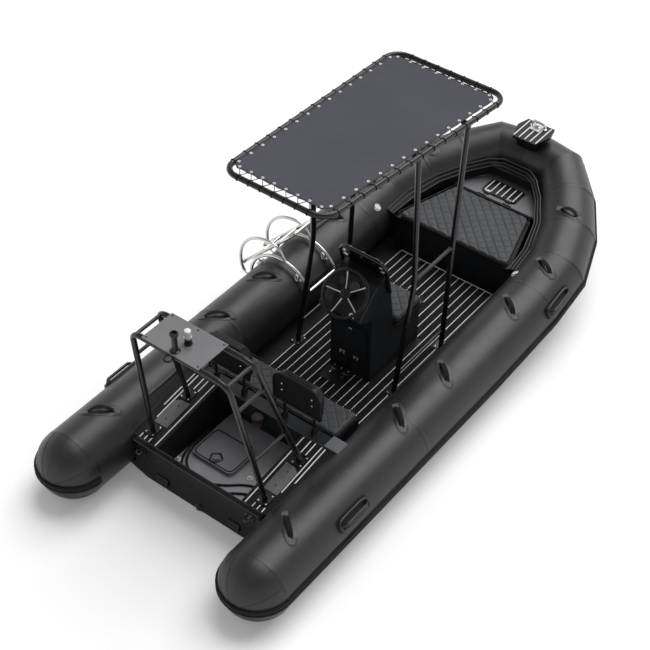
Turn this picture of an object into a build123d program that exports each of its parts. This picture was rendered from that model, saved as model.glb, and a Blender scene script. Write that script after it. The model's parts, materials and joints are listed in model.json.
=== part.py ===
from build123d import *
import math
import os

# Rigid inflatable boat, millimetres.
# X runs forward from the top of the transom, Y to port, Z up from the waterline.

os.makedirs("parts", exist_ok=True)

floor_z = 105
deck_z = 340
keel_z = -180
sole_z = 80

# Buoyancy tubes: centreline stations of the port side, aft to bow
tube_radius = 240
tube_y = 766
tube_z = 232
dome_x = -305
baffle_x = 1150
sheer_start_x = 2000
# columns: x, y, z, radius
bow_stations = [
    (baffle_x, tube_y, tube_z, tube_radius),
    (sheer_start_x, tube_y, tube_z, tube_radius),
    (2700, 776, 284, 238),
    (3080, 762, 335, 233),
    (3420, 650, 390, 223),
    (3720, 472, 446, 210),
    (3958, 270, 502, 197),
    (4000, 0, 505, 193),
]
mid_last = 2
shoulder_last = 4

strake_thick = 9
strake_sunk = 4
strake_height = 52

parts = {}


def mirrored(shape):
    return shape.mirror(Plane.XZ)


def box(x0, x1, y0, y1, z0, z1):
    middle = ((x0 + x1) / 2, (y0 + y1) / 2, (z0 + z1) / 2)
    return Pos(*middle) * Box(x1 - x0, y1 - y0, z1 - z0)


def pipe(points, diameter, bend):
    if len(points) == 2:
        path = Line(*points)
    else:
        path = FilletPolyline(*points, radius=bend)
    start = Plane(origin=path @ 0, z_dir=path % 0)
    return sweep(start * Circle(diameter / 2), path=path)


def ring_pipe(points, diameter, bend):
    path = FilletPolyline(*points, radius=bend, close=True)
    start = Plane(origin=path @ 0, z_dir=path % 0)
    return sweep(start * Circle(diameter / 2), path=path)


def rod(start, end, diameter):
    direction = Vector(*end) - Vector(*start)
    base = Plane(origin=start, z_dir=direction)
    return extrude(base * Circle(diameter / 2), direction.length)


def plan_prism(outline, z0, z1):
    return extrude(Pos(0, 0, z0) * make_face(Polyline(*outline, close=True)), z1 - z0)


def side_prism(outline, y0, y1):
    face = make_face(Polyline(*[(x, y0, z) for x, z in outline], close=True))
    return extrude(face, y1 - y0, dir=(0, 1, 0))


def keep(name, shape):
    shape.label = name
    parts[name] = shape


# Directions of the tube's centreline, the mean of the runs on both sides
bow_points = [Vector(x, y, z) for x, y, z, r in bow_stations]
bow_radii = [r for x, y, z, r in bow_stations]
bow_runs = [(b - a).normalized() for a, b in zip(bow_points, bow_points[1:])]
bow_dirs = [bow_runs[0]]
bow_dirs += [(a + b).normalized() for a, b in zip(bow_runs, bow_runs[1:])]
bow_dirs += [Vector(0, -1, 0)]


def tube_plane(i):
    outward = Vector(0, 0, 1).cross(bow_dirs[i]) * -1
    return Plane(origin=bow_points[i], x_dir=outward * -1, z_dir=bow_dirs[i])


def tube_loft(first, last):
    rings = [tube_plane(i) * Circle(bow_radii[i]) for i in range(first, last + 1)]
    return loft(rings, ruled=True)


def strake_loft(first, last):
    bands = []
    for i in range(first, last + 1):
        reach = bow_radii[i] + (strake_thick - strake_sunk) / 2
        band = Pos(reach, 0) * Rectangle(strake_thick + strake_sunk, strake_height)
        bands.append(tube_plane(i) * band)
    return loft(bands, ruled=True)


# Tube chambers
dome_end_x = dome_x - tube_radius
aft_profile = make_face(
    Polyline((dome_end_x, 0), (baffle_x, 0), (baffle_x, tube_radius), (dome_x, tube_radius))
    + RadiusArc((dome_x, tube_radius), (dome_end_x, 0), -tube_radius)
)
tube_aft = Pos(0, tube_y, tube_z) * revolve(aft_profile, axis=Axis.X)
tube_mid = tube_loft(0, mid_last)
tube_shoulder = tube_loft(mid_last, shoulder_last)
nose_half = tube_loft(shoulder_last, len(bow_stations) - 1)
tube_nose = nose_half + mirrored(nose_half)

tube_side = tube_aft + tube_mid
keep("tube_port", tube_side)
keep("tube_starboard", mirrored(tube_side))
keep("tube_shoulder_port", tube_shoulder)
keep("tube_shoulder_starboard", mirrored(tube_shoulder))
keep("tube_nose", tube_nose)
tubes_port = [tube_aft, tube_mid, tube_shoulder, tube_nose]
tubes_all = tubes_port + [mirrored(t) for t in tubes_port[:3]]


def clear_of_tubes(shape, tubes):
    for tube in tubes:
        shape = shape - tube
    return shape


# Rubbing strake on the outside of the tubes
ring_low = tube_z - strake_height / 2
dome_ring = Pos(dome_x, tube_y, tube_z) * Cylinder(tube_radius + strake_thick, strake_height)
dome_ring = dome_ring & box(
    dome_end_x - strake_height, dome_x, tube_y - 2 * tube_radius, tube_y + 2 * tube_radius,
    ring_low - 1, ring_low + strake_height + 1,
)
strake_straight = box(
    dome_x, baffle_x, tube_y + tube_radius - strake_sunk, tube_y + tube_radius + strake_thick,
    ring_low, ring_low + strake_height,
)
strake_side = clear_of_tubes(dome_ring + strake_straight + strake_loft(0, shoulder_last), tubes_port)
strake_nose_half = strake_loft(shoulder_last, len(bow_stations) - 1)
strake_nose = clear_of_tubes(strake_nose_half + mirrored(strake_nose_half), [tube_nose])
keep("strake_port", strake_side)
keep("strake_starboard", mirrored(strake_side))
keep("strake_nose", strake_nose)

# Hull: V bottom in ruled sections with thin sides, hollow above the sole and cut where the tubes lie in it
transom_rake = 45
transom_thick = 45
bow_deck_z = 405
bow_deck_thick = 14
forefoot_top = bow_deck_z - bow_deck_thick
# columns: x, keel z, chine half width, chine z, z of the side's top
hull_stations = [
    (0, keel_z, 600, 58, 150),
    (2200, keel_z, 600, 58, 150),
    (2850, -150, 600, 78, 210),
    (3470, -10, 520, 200, forefoot_top),
    (3700, 110, 330, 270, forefoot_top),
    (3930, 330, 90, 372, forefoot_top),
]
hull_wall = 18
hull_reach = 700
wall = 14
locker_x0 = 2880
locker_x1 = 3450
locker_half_aft = 505
locker_half_fore = 335
locker_top = 362
hollow_x1 = locker_x1 + wall


def hull_section(x, keel, half, chine, top):
    points = [(x, 0, keel), (x, half, chine), (x, half, top), (x, -half, top), (x, -half, chine)]
    return make_face(Polyline(*points, close=True))


hull = loft([hull_section(*station) for station in hull_stations], ruled=True)
hollow = loft(
    [
        hull_section(x, keel + hull_wall, half - hull_wall, chine + hull_wall / 2, forefoot_top + 1)
        for x, keel, half, chine, top in hull_stations
    ],
    ruled=True,
)
hollow = hollow & box(-1, hollow_x1, -hull_reach, hull_reach, sole_z, bow_deck_z)
transom_side = [
    (0, deck_z), (transom_thick, deck_z), (transom_thick + transom_rake, keel_z), (transom_rake, keel_z),
]
aft_cut = [
    (-50, deck_z), (transom_thick, deck_z), (transom_thick + transom_rake, keel_z),
    (transom_rake, keel_z - 50), (-50, keel_z - 50),
]
aft_block = side_prism(aft_cut, -hull_reach, hull_reach)
keep("hull", clear_of_tubes(hull - hollow - aft_block, tubes_all))

tube_inner = tube_y - tube_radius
transom_half = tube_inner + 6
transom_v = [
    (0, 0, keel_z), (0, 600, 58), (0, transom_half, 130), (0, transom_half, deck_z),
    (0, -transom_half, deck_z), (0, -transom_half, 130), (0, -600, 58),
]
transom_face = make_face(Polyline(*transom_v, close=True))
transom = extrude(Pos(-10, 0, 0) * transom_face, 200, dir=(1, 0, 0))
transom = transom & side_prism(transom_side, -hull_reach, hull_reach)
scupper_y = 301
scupper_z = 72
scupper_half = 32
scupper_deep = 9
for side in (1, -1):
    y = side * scupper_y
    transom = transom - box(
        -20, 140, y - scupper_half, y + scupper_half, scupper_z - scupper_deep, scupper_z + scupper_deep,
    )
keep("transom", clear_of_tubes(transom, tubes_all))

# Cockpit sole, and the decks beside the engine well, which rise from the transom to the bench
well_half = 350
well_x1 = 738
deck_x0 = transom_thick
deck_reach = 640
bench_x0 = 650
beam_top = 425
sole = hollow & box(0, hollow_x1, -hull_reach, hull_reach, sole_z, floor_z)
keep("cockpit_sole", clear_of_tubes(sole - aft_block, tubes_all))


def deck_top(x):
    return deck_z + (beam_top - deck_z) * (x - deck_x0) / (bench_x0 - deck_x0)


deck_side = [(deck_x0, floor_z), (bench_x0, floor_z), (bench_x0, beam_top), (deck_x0, deck_z)]
side_deck = clear_of_tubes(side_prism(deck_side, well_half, deck_reach) - aft_block, [tube_aft])
keep("side_decks", Compound(children=[side_deck, mirrored(side_deck)]))

tray_thick = 8
tray = box(deck_x0, well_x1, -well_half, well_half, floor_z, floor_z + tray_thick) - aft_block
hatch_x0 = 292
hatch_x1 = 545
hatch_y0 = -45
hatch_y1 = 285
coaming_wall = 12
coaming_high = 26
hatch_coaming = box(hatch_x0, hatch_x1, hatch_y0, hatch_y1, floor_z + tray_thick, floor_z + coaming_high)
hatch_coaming = hatch_coaming - box(
    hatch_x0 + coaming_wall, hatch_x1 - coaming_wall, hatch_y0 + coaming_wall, hatch_y1 - coaming_wall,
    floor_z + tray_thick, floor_z + coaming_high + 1,
)
# Well hatch lid, hinged on its forward edge
lid_low = floor_z + coaming_high
lid_thick = 14
hatch_lid = box(hatch_x0 - 8, hatch_x1 + 8, hatch_y0 - 8, hatch_y1 + 8, lid_low, lid_low + lid_thick)
hatch_lid = fillet(hatch_lid.edges().filter_by(Axis.Z), 45)
hatch_mid_y = (hatch_y0 + hatch_y1) / 2
hatch_knob = Pos(hatch_x0 + 45, hatch_mid_y, lid_low + lid_thick + 6) * Cylinder(22, 12)
hatch_pin_x = hatch_x1 + 16
hatch_pin_z = lid_low + lid_thick / 2
knuckle = 12
hatch_ears = []
hatch_lugs = []
for y in (hatch_mid_y - 90, hatch_mid_y + 90):
    pin = (hatch_pin_x, y - 14, hatch_pin_z)
    ear = rod(pin, (hatch_pin_x, y + 14, hatch_pin_z), knuckle)
    ear = ear + box(hatch_x1 + 4, hatch_pin_x, y - 14, y + 14, hatch_pin_z - 3, hatch_pin_z + 3)
    hatch_ears.append(ear)
    for y0 in (y - 28, y + 15):
        lug = rod((hatch_pin_x, y0, hatch_pin_z), (hatch_pin_x, y0 + 13, hatch_pin_z), knuckle)
        lug = lug + box(hatch_pin_x - 6, hatch_pin_x + 6, y0, y0 + 13, floor_z + tray_thick, hatch_pin_z)
        hatch_lugs.append(lug)
keep("well_hatch_lid", hatch_lid + hatch_knob + hatch_ears)
well_tray = tray + hatch_coaming
for lug in hatch_lugs:
    well_tray = well_tray + lug
keep("well_tray", well_tray)

# Aft bench: an open locker under two hinged seats, with a beam along its back that overhangs the well
bench_x1 = 1020
seat_x0 = 752
bench_half = tube_inner + 4
bench_top = 365
beam_low = 300
beam_x1 = seat_x0 - 6
bench = box(well_x1, bench_x1, -bench_half, bench_half, floor_z, bench_top)
bench = bench + box(bench_x0, beam_x1, -bench_half, bench_half, beam_low, beam_top)
for side in (1, -1):
    y0, y1 = sorted((side * wall, side * (bench_half - wall)))
    bench = bench - box(seat_x0 + wall, bench_x1 - wall, y0, y1, floor_z + wall, bench_top + 1)
    y0, y1 = sorted((side * well_half, side * bench_half))
    bench = bench + box(bench_x0, beam_x1, y0, y1, floor_z, beam_top)

pad_reach = 127
pad_over = 12
pad_under = 8
pad_x1 = seat_x0 + 3
end_pad = box(
    bench_x0, pad_x1, bench_half - 2, bench_half + pad_reach, beam_top - pad_under, beam_top + pad_over,
)
end_pad = end_pad - box(bench_x0, pad_x1, 0, bench_half, 0, beam_top)
end_pad = clear_of_tubes(end_pad, [tube_aft])
keep("bench_end_pads", Compound(children=[end_pad, mirrored(end_pad)]))

seat_gap = 5
seat_board = 13
cushion_thick = 47
knuckle_wide = 12
leaf_thick = 5
seat_pin_x = seat_x0 + 4
seat_pin_z = beam_top
for name, side in (("port", 1), ("starboard", -1)):
    y0, y1 = sorted((side * seat_gap, side * (bench_half + 2)))
    board = box(seat_x0 + 10, bench_x1 + 4, y0, y1, bench_top, bench_top + seat_board)
    for y in (side * 110, side * 420):
        board = board + rod((seat_pin_x, y - 30, seat_pin_z), (seat_pin_x, y + 30, seat_pin_z), knuckle_wide)
        board = board + box(seat_pin_x, seat_x0 + 12, y - 30, y + 30, seat_pin_z - leaf_thick, seat_pin_z)
        board = board + box(seat_x0 + 7, seat_x0 + 12, y - 30, y + 30, bench_top, seat_pin_z)
    keep("bench_lid_" + name, board)
    pad_low = bench_top + seat_board
    pad = box(seat_x0 + 16, bench_x1 + 2, y0 + 2, y1 - 2, pad_low, pad_low + cushion_thick)
    keep("bench_cushion_" + name, fillet(pad.edges().filter_by(Axis.Z), 25))

# Folding backrests on flat legs, pivoting on the bench beam
rest_x = 690
rest_y = 290
rest_half = 190
rest_low = 600
rest_high = 850
rest_thick = 16
rest_pin_x = 700
rest_pin_z = beam_top + 32
leg_thick = 8
leg_reach = 120
rest_corner = 90
for name, side in (("port", 1), ("starboard", -1)):
    mid = side * rest_y
    panel = box(rest_x - rest_thick, rest_x, mid - rest_half, mid + rest_half, rest_low, rest_high)
    upper = panel.edges().filter_by(Axis.X).group_by(Axis.Z)[-1]
    panel = fillet(upper, rest_corner)
    legs = []
    cheeks = []
    for y in (mid - leg_reach, mid + leg_reach):
        leg = box(rest_x, rest_x + 20, y - leg_thick / 2, y + leg_thick / 2, rest_pin_z - 14, rest_high - 60)
        leg = leg - rod((rest_pin_x, y - 20, rest_pin_z), (rest_pin_x, y + 20, rest_pin_z), 10.6)
        legs.append(leg)
        for gap in (-1, 1):
            inner = y + gap * (leg_thick / 2 + 1)
            c0, c1 = sorted((inner, inner + gap * 6))
            cheeks.append(box(rest_pin_x - 22, rest_pin_x + 22, c0, c1, beam_top, rest_pin_z + 18))
    pins = [
        rod((rest_pin_x, y - 14, rest_pin_z), (rest_pin_x, y + 14, rest_pin_z), 10)
        for y in (mid - leg_reach, mid + leg_reach)
    ]
    keep("backrest_" + name, panel + legs)
    pad_x0 = rest_x + 1
    pad = box(pad_x0, pad_x0 + 50, mid - rest_half + 8, mid + rest_half - 8, rest_low + 4, rest_high - 8)
    upper = pad.edges().filter_by(Axis.X).group_by(Axis.Z)[-1]
    pad = fillet(upper, rest_corner - 8)
    for leg in legs:
        pad = pad - leg
    keep("backrest_cushion_" + name, pad)
    for piece in cheeks + pins:
        bench = bench + piece
keep("aft_bench", clear_of_tubes(bench, [tube_aft, mirrored(tube_aft)]))

# Steering console, offset to starboard, with a locker behind a drop-down door
console_y0 = -235
console_y1 = 107
console_x0 = 1550
console_x1 = 1800
dash_low = (1410, 765)
dash_high = (1600, 955)
console_side = [
    (console_x0, floor_z), (console_x1, floor_z), (console_x1, 520), (1735, 940), (1720, 955),
    dash_high, dash_low, (1418, 748), (console_x0, 690),
]
console = side_prism(console_side, console_y0, console_y1)
door_y0 = -200
door_y1 = 72
door_z0 = 258
door_z1 = 560
door_lap = 14
door_thick = 12
door_pin_x = console_x0 - door_thick / 2
door_pin_z = door_z0 - 8
recess_x1 = 1770
console = console - box(
    console_x0 - 1, recess_x1, door_y0 + door_lap, door_y1 - door_lap, door_z0 + door_lap, door_z1 - door_lap,
)
hinge_half = 24
door_leaf = 6
knob_wide = 28
knob_long = 20
door = box(console_x0 - door_thick, console_x0, door_y0, door_y1, door_z0, door_z1)
door_mid = (door_y0 + door_y1) / 2
for y in (door_mid - 58, door_mid + 58):
    y0 = y - hinge_half
    y1 = y + hinge_half
    door = door + rod((door_pin_x, y0, door_pin_z), (door_pin_x, y1, door_pin_z), door_thick)
    door = door + box(door_pin_x - door_leaf / 2, door_pin_x + door_leaf / 2, y0, y1, door_pin_z, door_z0 + 2)
knob_x = console_x0 - door_thick
knob_z = door_z1 - 45
door = door + rod((knob_x, door_mid, knob_z), (knob_x - knob_long, door_mid, knob_z), knob_wide)
keep("console_door", door)

seat_y0 = -262
seat_y1 = 134
pod_x1 = 2125
pod_top = 452
pod = box(console_x1, pod_x1, console_y0, console_y1, floor_z, pod_top)
pod = pod - box(
    console_x1 + wall, pod_x1 - wall, console_y0 + wall, console_y1 - wall, floor_z + wall, pod_top + 1,
)
keep("console_seat_box", pod)
pod_pin_x = console_x1 + 9
pod_pin_z = pod_top + 58
pod_board = box(console_x1 + 16, pod_x1 + 8, seat_y0, seat_y1, pod_top, pod_top + seat_board)
for y in (-165, 37):
    pod_board = pod_board + rod((pod_pin_x, y - 30, pod_pin_z), (pod_pin_x, y + 30, pod_pin_z), knuckle_wide)
    pod_board = pod_board + box(console_x1 + 15, console_x1 + 20, y - 30, y + 30, pod_top, pod_pin_z)
    pod_board = pod_board + box(pod_pin_x, console_x1 + 20, y - 30, y + 30, pod_pin_z - leaf_thick, pod_pin_z)
keep("console_seat_lid", pod_board)
pod_pad = box(console_x1 + 24, pod_x1 + 6, seat_y0 + 2, seat_y1 - 2, pod_top + seat_board, pod_top + 62)
keep("console_cushion", fillet(pod_pad.edges().filter_by(Axis.Z), 30))

screen_low = (1712, 955)
screen_high = (1650, 1098)
screen_thick = 6
screen_side = [
    screen_low, (screen_low[0] + screen_thick, screen_low[1]),
    (screen_high[0] + screen_thick, screen_high[1]), screen_high,
]
rail_points = [
    (1722, console_y0 - 14, 830), (1652, console_y0 - 14, 1112),
    (1652, console_y1 + 14, 1112), (1722, console_y1 + 14, 830),
]
keep("console_rail", pipe(rail_points, 28, 70))
keep("windscreen", side_prism(screen_side, console_y0 + 25, console_y1 - 25) - parts["console_rail"])

# Steering wheel on a short column square to the dash
wheel_tilt = 45
wheel_y = -85
dash_mid = Vector((dash_low[0] + dash_high[0]) / 2, wheel_y, (dash_low[1] + dash_high[1]) / 2)
wheel_axis = Vector(-math.cos(math.radians(wheel_tilt)), 0, math.sin(math.radians(wheel_tilt)))
column_long = 52
hub_long = 34
hub_start = dash_mid + wheel_axis * (column_long + 1)
keep("console", console + rod(tuple(dash_mid), tuple(dash_mid + wheel_axis * column_long), 62))
wheel_plane = Plane(origin=hub_start, z_dir=wheel_axis)
rim_radius = 161
rim_thick = 26
spokes = 5
hub = Cylinder(34, hub_long, align=(Align.CENTER, Align.CENTER, Align.MIN))
for i in range(spokes):
    turn = math.radians(360 / spokes * i + 18)
    reach = rim_radius - 4
    spoke_end = (reach * math.cos(turn), reach * math.sin(turn), hub_long - 3)
    hub = hub + rod((0, 0, hub_long - 12), spoke_end, 12)
rim_section = Pos(rim_radius, 0, hub_long) * (Plane.XZ * RegularPolygon(rim_thick / 2, 10))
wheel = hub + revolve(rim_section, axis=Axis.Z)
keep("steering_wheel", wheel_plane.location * wheel)

# Shade top: four legs, a lacing frame and the fabric panel
top_tube = 38
frame_aft = (806, 401, 2086)
frame_fore = (2691, 463, 1954)
frame_bend = 110


def frame_z(x):
    return frame_aft[2] + (x - frame_aft[0]) * (frame_fore[2] - frame_aft[2]) / (frame_fore[0] - frame_aft[0])


def frame_half(x):
    return frame_aft[1] + (x - frame_aft[0]) * (frame_fore[1] - frame_aft[1]) / (frame_fore[0] - frame_aft[0])


frame_inset = top_tube / 2
frame_x0 = frame_aft[0] + frame_inset
frame_x1 = frame_fore[0] - frame_inset
frame_pitch = math.degrees(math.atan2(frame_aft[2] - frame_fore[2], frame_fore[0] - frame_aft[0]))
half0 = frame_half(frame_x0) - frame_inset
half1 = frame_half(frame_x1) - frame_inset
loop_points = [
    (frame_x1, half1, frame_z(frame_x1)), (frame_x1, -half1, frame_z(frame_x1)),
    (frame_x0, -half0, frame_z(frame_x0)), (frame_x0, half0, frame_z(frame_x0)),
]
top_frame = ring_pipe(loop_points, top_tube, frame_bend)
# columns: x of foot, x of knee, z of knee, x of top
leg_table = [
    (1580, 1755, 960, 1716),
    (2157, 2190, 900, 2238),
]
leg_half = 419
cross_tube = 30
cross_bars = []
for foot_x, knee_x, knee_z, head_x in leg_table:
    head_half = frame_half(head_x) - frame_inset
    head_z = frame_z(head_x)
    cross_bars.append(rod((head_x, -head_half, head_z), (head_x, head_half, head_z), cross_tube))
keep("top_frame", top_frame + cross_bars)

foot_plate = 8
legs = {1: [], -1: []}
for foot_x, knee_x, knee_z, head_x in leg_table:
    for side in (1, -1):
        head_half = frame_half(head_x) - frame_inset
        points = [
            (foot_x, side * leg_half, floor_z), (knee_x, side * leg_half, knee_z),
            (head_x, side * head_half, frame_z(head_x)),
        ]
        leg = pipe(points, top_tube, 900)
        foot_y = side * leg_half
        leg = leg + box(foot_x - 45, foot_x + 45, foot_y - 40, foot_y + 40, floor_z, floor_z + foot_plate)
        legs[side].append(leg)
bar_z = 1000
low_bar_z = 262
leg_frames = []
for side in (1, -1):
    bars = []
    for z in (bar_z, low_bar_z):
        ends = []
        for foot_x, knee_x, knee_z, head_x in leg_table:
            if z <= knee_z:
                x = foot_x + (knee_x - foot_x) * (z - floor_z) / (knee_z - floor_z)
            else:
                x = knee_x + (head_x - knee_x) * (z - knee_z) / (frame_z(head_x) - knee_z)
            ends.append((x, side * leg_half, z))
        bars.append(rod(ends[0], ends[1], 26))
    shape = (legs[side][0] + legs[side][1] + bars) - parts["top_frame"] - parts["cockpit_sole"]
    leg_frames.append(shape)
keep("top_legs", Compound(children=leg_frames))

sheet_thick = 6
sheet_seat = 0.4
sheet_gap_end = 98
sheet_gap_side = 6
sheet_x0 = frame_aft[0] + sheet_gap_end
sheet_x1 = frame_fore[0] - sheet_gap_end
sheet_half0 = frame_half(sheet_x0) - top_tube - sheet_gap_side
sheet_half1 = frame_half(sheet_x1) - top_tube - sheet_gap_side
sheet_plane = Plane(
    origin=(sheet_x0, 0, frame_z(sheet_x0) + cross_tube / 2 + sheet_seat),
    x_dir=(frame_x1 - frame_x0, 0, frame_z(frame_x1) - frame_z(frame_x0)),
    z_dir=(frame_z(frame_x0) - frame_z(frame_x1), 0, frame_x1 - frame_x0),
)
sheet_long = (sheet_x1 - sheet_x0) / math.cos(math.radians(frame_pitch))
sheet_corners = [(0, sheet_half0), (sheet_long, sheet_half1), (sheet_long, -sheet_half1), (0, -sheet_half0)]
sheet_shape = make_face(Polyline(*sheet_corners, close=True))
sheet = extrude(sheet_shape, sheet_thick)
sheet = fillet(sheet.edges().filter_by(Axis.Z), 60)
keep("shade_panel", sheet_plane.location * sheet)

# Stern arch: two hoops, joining bars and the equipment plate
arch_tube = 38
arch_bend = 85
arch_top = 1423
arch_top_half = 372
# columns: x of feet, x of top
hoop_table = [(137, -43), (480, 186)]
foot_half = 468
foot_size = (96, 84, 8)
hoops = []
for foot_x, head_x in hoop_table:
    foot_z = deck_top(foot_x)
    points = [
        (foot_x, foot_half, foot_z), (head_x, arch_top_half, arch_top),
        (head_x, -arch_top_half, arch_top), (foot_x, -foot_half, foot_z),
    ]
    hoops.append(pipe(points, arch_tube, arch_bend))
    for side in (1, -1):
        foot = Plane(
            origin=(foot_x, side * foot_half, foot_z),
            x_dir=(bench_x0 - deck_x0, 0, beam_top - deck_z),
            z_dir=(deck_z - beam_top, 0, bench_x0 - deck_x0),
        )
        hoops.append(foot.location * Pos(0, 0, foot_size[2] / 2) * Box(*foot_size))
rung_tube = 24
# the highest rung meets the middle of the hoops' corner bends
bend_draw = 20
arch_bars = []
for side in (1, -1):
    y = side * (arch_top_half - bend_draw)
    ends = [(head_x, y, arch_top - bend_draw) for foot_x, head_x in hoop_table]
    arch_bars.append(rod(*ends, rung_tube))
    for z in (1196, 730):
        ends = []
        for foot_x, head_x in hoop_table:
            share = (z - deck_top(foot_x)) / (arch_top - deck_top(foot_x))
            y = foot_half + (arch_top_half - foot_half) * share
            ends.append((foot_x + (head_x - foot_x) * share, side * y, z))
        arch_bars.append(rod(*ends, rung_tube))
tow_ring = Pos(hoop_table[0][1] - arch_tube, 53, arch_top) * Torus(27, 8)
arch = hoops[0]
for piece in hoops[1:] + arch_bars + [tow_ring]:
    arch = arch + piece
keep("stern_arch", arch - parts["side_decks"])

plate_low = arch_top + arch_tube / 2
plate = box(-62, 205, -165, 275, plate_low, plate_low + 6)
keep("arch_plate", plate)
plate_high = plate_low + 6
light = Pos(66, 24, plate_high + 20) * Cylinder(26, 40) + Pos(66, 24, plate_high + 75) * Cylinder(22, 70)
keep("all_round_light", light)
post = Pos(-24, 45, plate_high + 62) * Cylinder(18, 124) + Pos(-24, 45, plate_high + 132) * Cylinder(27, 16)
keep("tow_post", post)

# Bow locker: an open box with a hinged, cushioned lid
locker_plan = [
    (locker_x0, -locker_half_aft), (locker_x1, -locker_half_fore),
    (locker_x1, locker_half_fore), (locker_x0, locker_half_aft),
]
inner_plan = [
    (locker_x0 + wall, wall - locker_half_aft), (locker_x1 - wall, wall - locker_half_fore),
    (locker_x1 - wall, locker_half_fore - wall), (locker_x0 + wall, locker_half_aft - wall),
]
locker = plan_prism(locker_plan, floor_z, locker_top) - plan_prism(inner_plan, floor_z + wall, locker_top + 1)
keep("bow_locker", clear_of_tubes(locker & hollow, tubes_all))
lid_x1 = locker_x1 - 8
lid_plan = [
    (locker_x0 - 8, -locker_half_aft - 4), (lid_x1, -locker_half_fore - 4),
    (lid_x1, locker_half_fore + 4), (locker_x0 - 8, locker_half_aft + 4),
]
bow_lid = plan_prism(lid_plan, locker_top, locker_top + seat_board)
bow_pin_x = locker_x1 + 5
bow_pin_z = bow_deck_z + 11
for y in (-112, 112):
    bow_lid = bow_lid + rod((bow_pin_x, y - 35, bow_pin_z), (bow_pin_x, y + 35, bow_pin_z), knuckle_wide)
    bow_lid = bow_lid + box(lid_x1 - 3, lid_x1 + 2, y - 35, y + 35, locker_top, bow_pin_z)
    bow_lid = bow_lid + box(lid_x1 - 3, bow_pin_x, y - 35, y + 35, bow_pin_z - leaf_thick, bow_pin_z)
keep("bow_locker_lid", bow_lid)
cushion_plan = [(min(x, lid_x1 - 5), y * 0.985) for x, y in lid_plan]
bow_cushion = plan_prism(cushion_plan, locker_top + seat_board, locker_top + 58)
keep("bow_cushion", fillet(bow_cushion.edges().filter_by(Axis.Z), 30))

# Bow deck with a small hatch, and the coaming round the bow cockpit
bow_deck_plan = [
    (locker_x1 + wall, -460), (3700, -300), (3860, -150), (3860, 150), (3700, 300), (locker_x1 + wall, 460),
]
bow_deck = plan_prism(bow_deck_plan, bow_deck_z - bow_deck_thick, bow_deck_z)
keep("bow_deck", clear_of_tubes(bow_deck, tubes_all))
bow_hatch_x0 = 3505
bow_hatch_x1 = 3670
bow_hatch_half = 150
bow_hatch = box(bow_hatch_x0, bow_hatch_x1, -bow_hatch_half, bow_hatch_half, bow_deck_z, bow_deck_z + 12)
bow_hatch = fillet(bow_hatch.edges().filter_by(Axis.Z), 25)
bow_hatch_pin_x = bow_hatch_x0 - 10
bow_hatch_pin_z = bow_deck_z + 7
bow_hatch_ears = [
    rod((bow_hatch_pin_x, y - 22, bow_hatch_pin_z), (bow_hatch_pin_x, y + 22, bow_hatch_pin_z), 10)
    + box(bow_hatch_pin_x, bow_hatch_x0 + 2, y - 22, y + 22, bow_hatch_pin_z - 3, bow_hatch_pin_z + 3)
    for y in (-95, 95)
]
keep("bow_hatch_lid", bow_hatch + bow_hatch_ears)

coaming_gap = 7
# columns: x, inner half width, inner z, outer half width, outer z
coaming_stations = [
    (2850, locker_half_aft + coaming_gap, 405, locker_half_aft + 65, 425),
    (3080, locker_half_aft - 15, 425, locker_half_aft + 55, 460),
    (3344, locker_half_fore + 80, 460, locker_half_fore + 135, 500),
    (3560, bow_hatch_half + 140, 492, bow_hatch_half + 185, 540),
    (3690, bow_hatch_half + 25, 515, bow_hatch_half + 65, 570),
]


def coaming_section(station):
    x, y0, z0, y1, z1 = station
    points = [(x, y0, z0), (x, y1, z1), (x, y1, z1 - 150), (x, y0, z0 - 60)]
    return make_face(Polyline(*points, close=True))


coaming = loft([coaming_section(s) for s in coaming_stations], ruled=True)
x_tip, tip_y0, tip_z0, tip_y1, tip_z1 = coaming_stations[-1]
tip = box(x_tip - 4, x_tip + 70, -tip_y1, tip_y1, tip_z0 - 60, tip_z0)
coaming = clear_of_tubes(coaming, tubes_all) - parts["bow_deck"]
coaming_starboard = mirrored(coaming)
coaming_front = clear_of_tubes(tip, tubes_all) - parts["bow_deck"] - coaming - coaming_starboard
keep("bow_coaming", (coaming + coaming_front + coaming_starboard) - parts["hull"])

# Bow step over the nose with its fairlead
step_low = 752
step_high = 772
step_half = 118
step_plan = [
    (4070, -step_half), (3960, -step_half - 28), (3808, -step_half + 22),
    (3808, step_half - 22), (3960, step_half + 28), (4070, step_half),
]
step = plan_prism(step_plan, step_low, step_high)
step_post = box(3870, 4050, -85, 85, 560, step_low)
keep("bow_step", clear_of_tubes(step + step_post, [tube_nose]))
fairlead_points = [
    (4022, -52, step_high), (4022, -52, step_high + 48), (4022, 52, step_high + 48), (4022, 52, step_high),
]
keep("fairlead", pipe(fairlead_points, 16, 30))

# Boarding ladder over the port tube: fixed hoops with grab loops, and the folding part
ladder_tube = 25
ladder_xs = (1820, 2125)
loop_bend = 110
hoop_radius = tube_radius + 30 + ladder_tube / 2
hinge_y = tube_y + hoop_radius + 89.5
hinge_z = tube_z + 48


def ring_point(x, radius, degrees):
    angle = math.radians(degrees)
    return (x, tube_y + radius * math.cos(angle), tube_z + radius * math.sin(angle))


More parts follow.
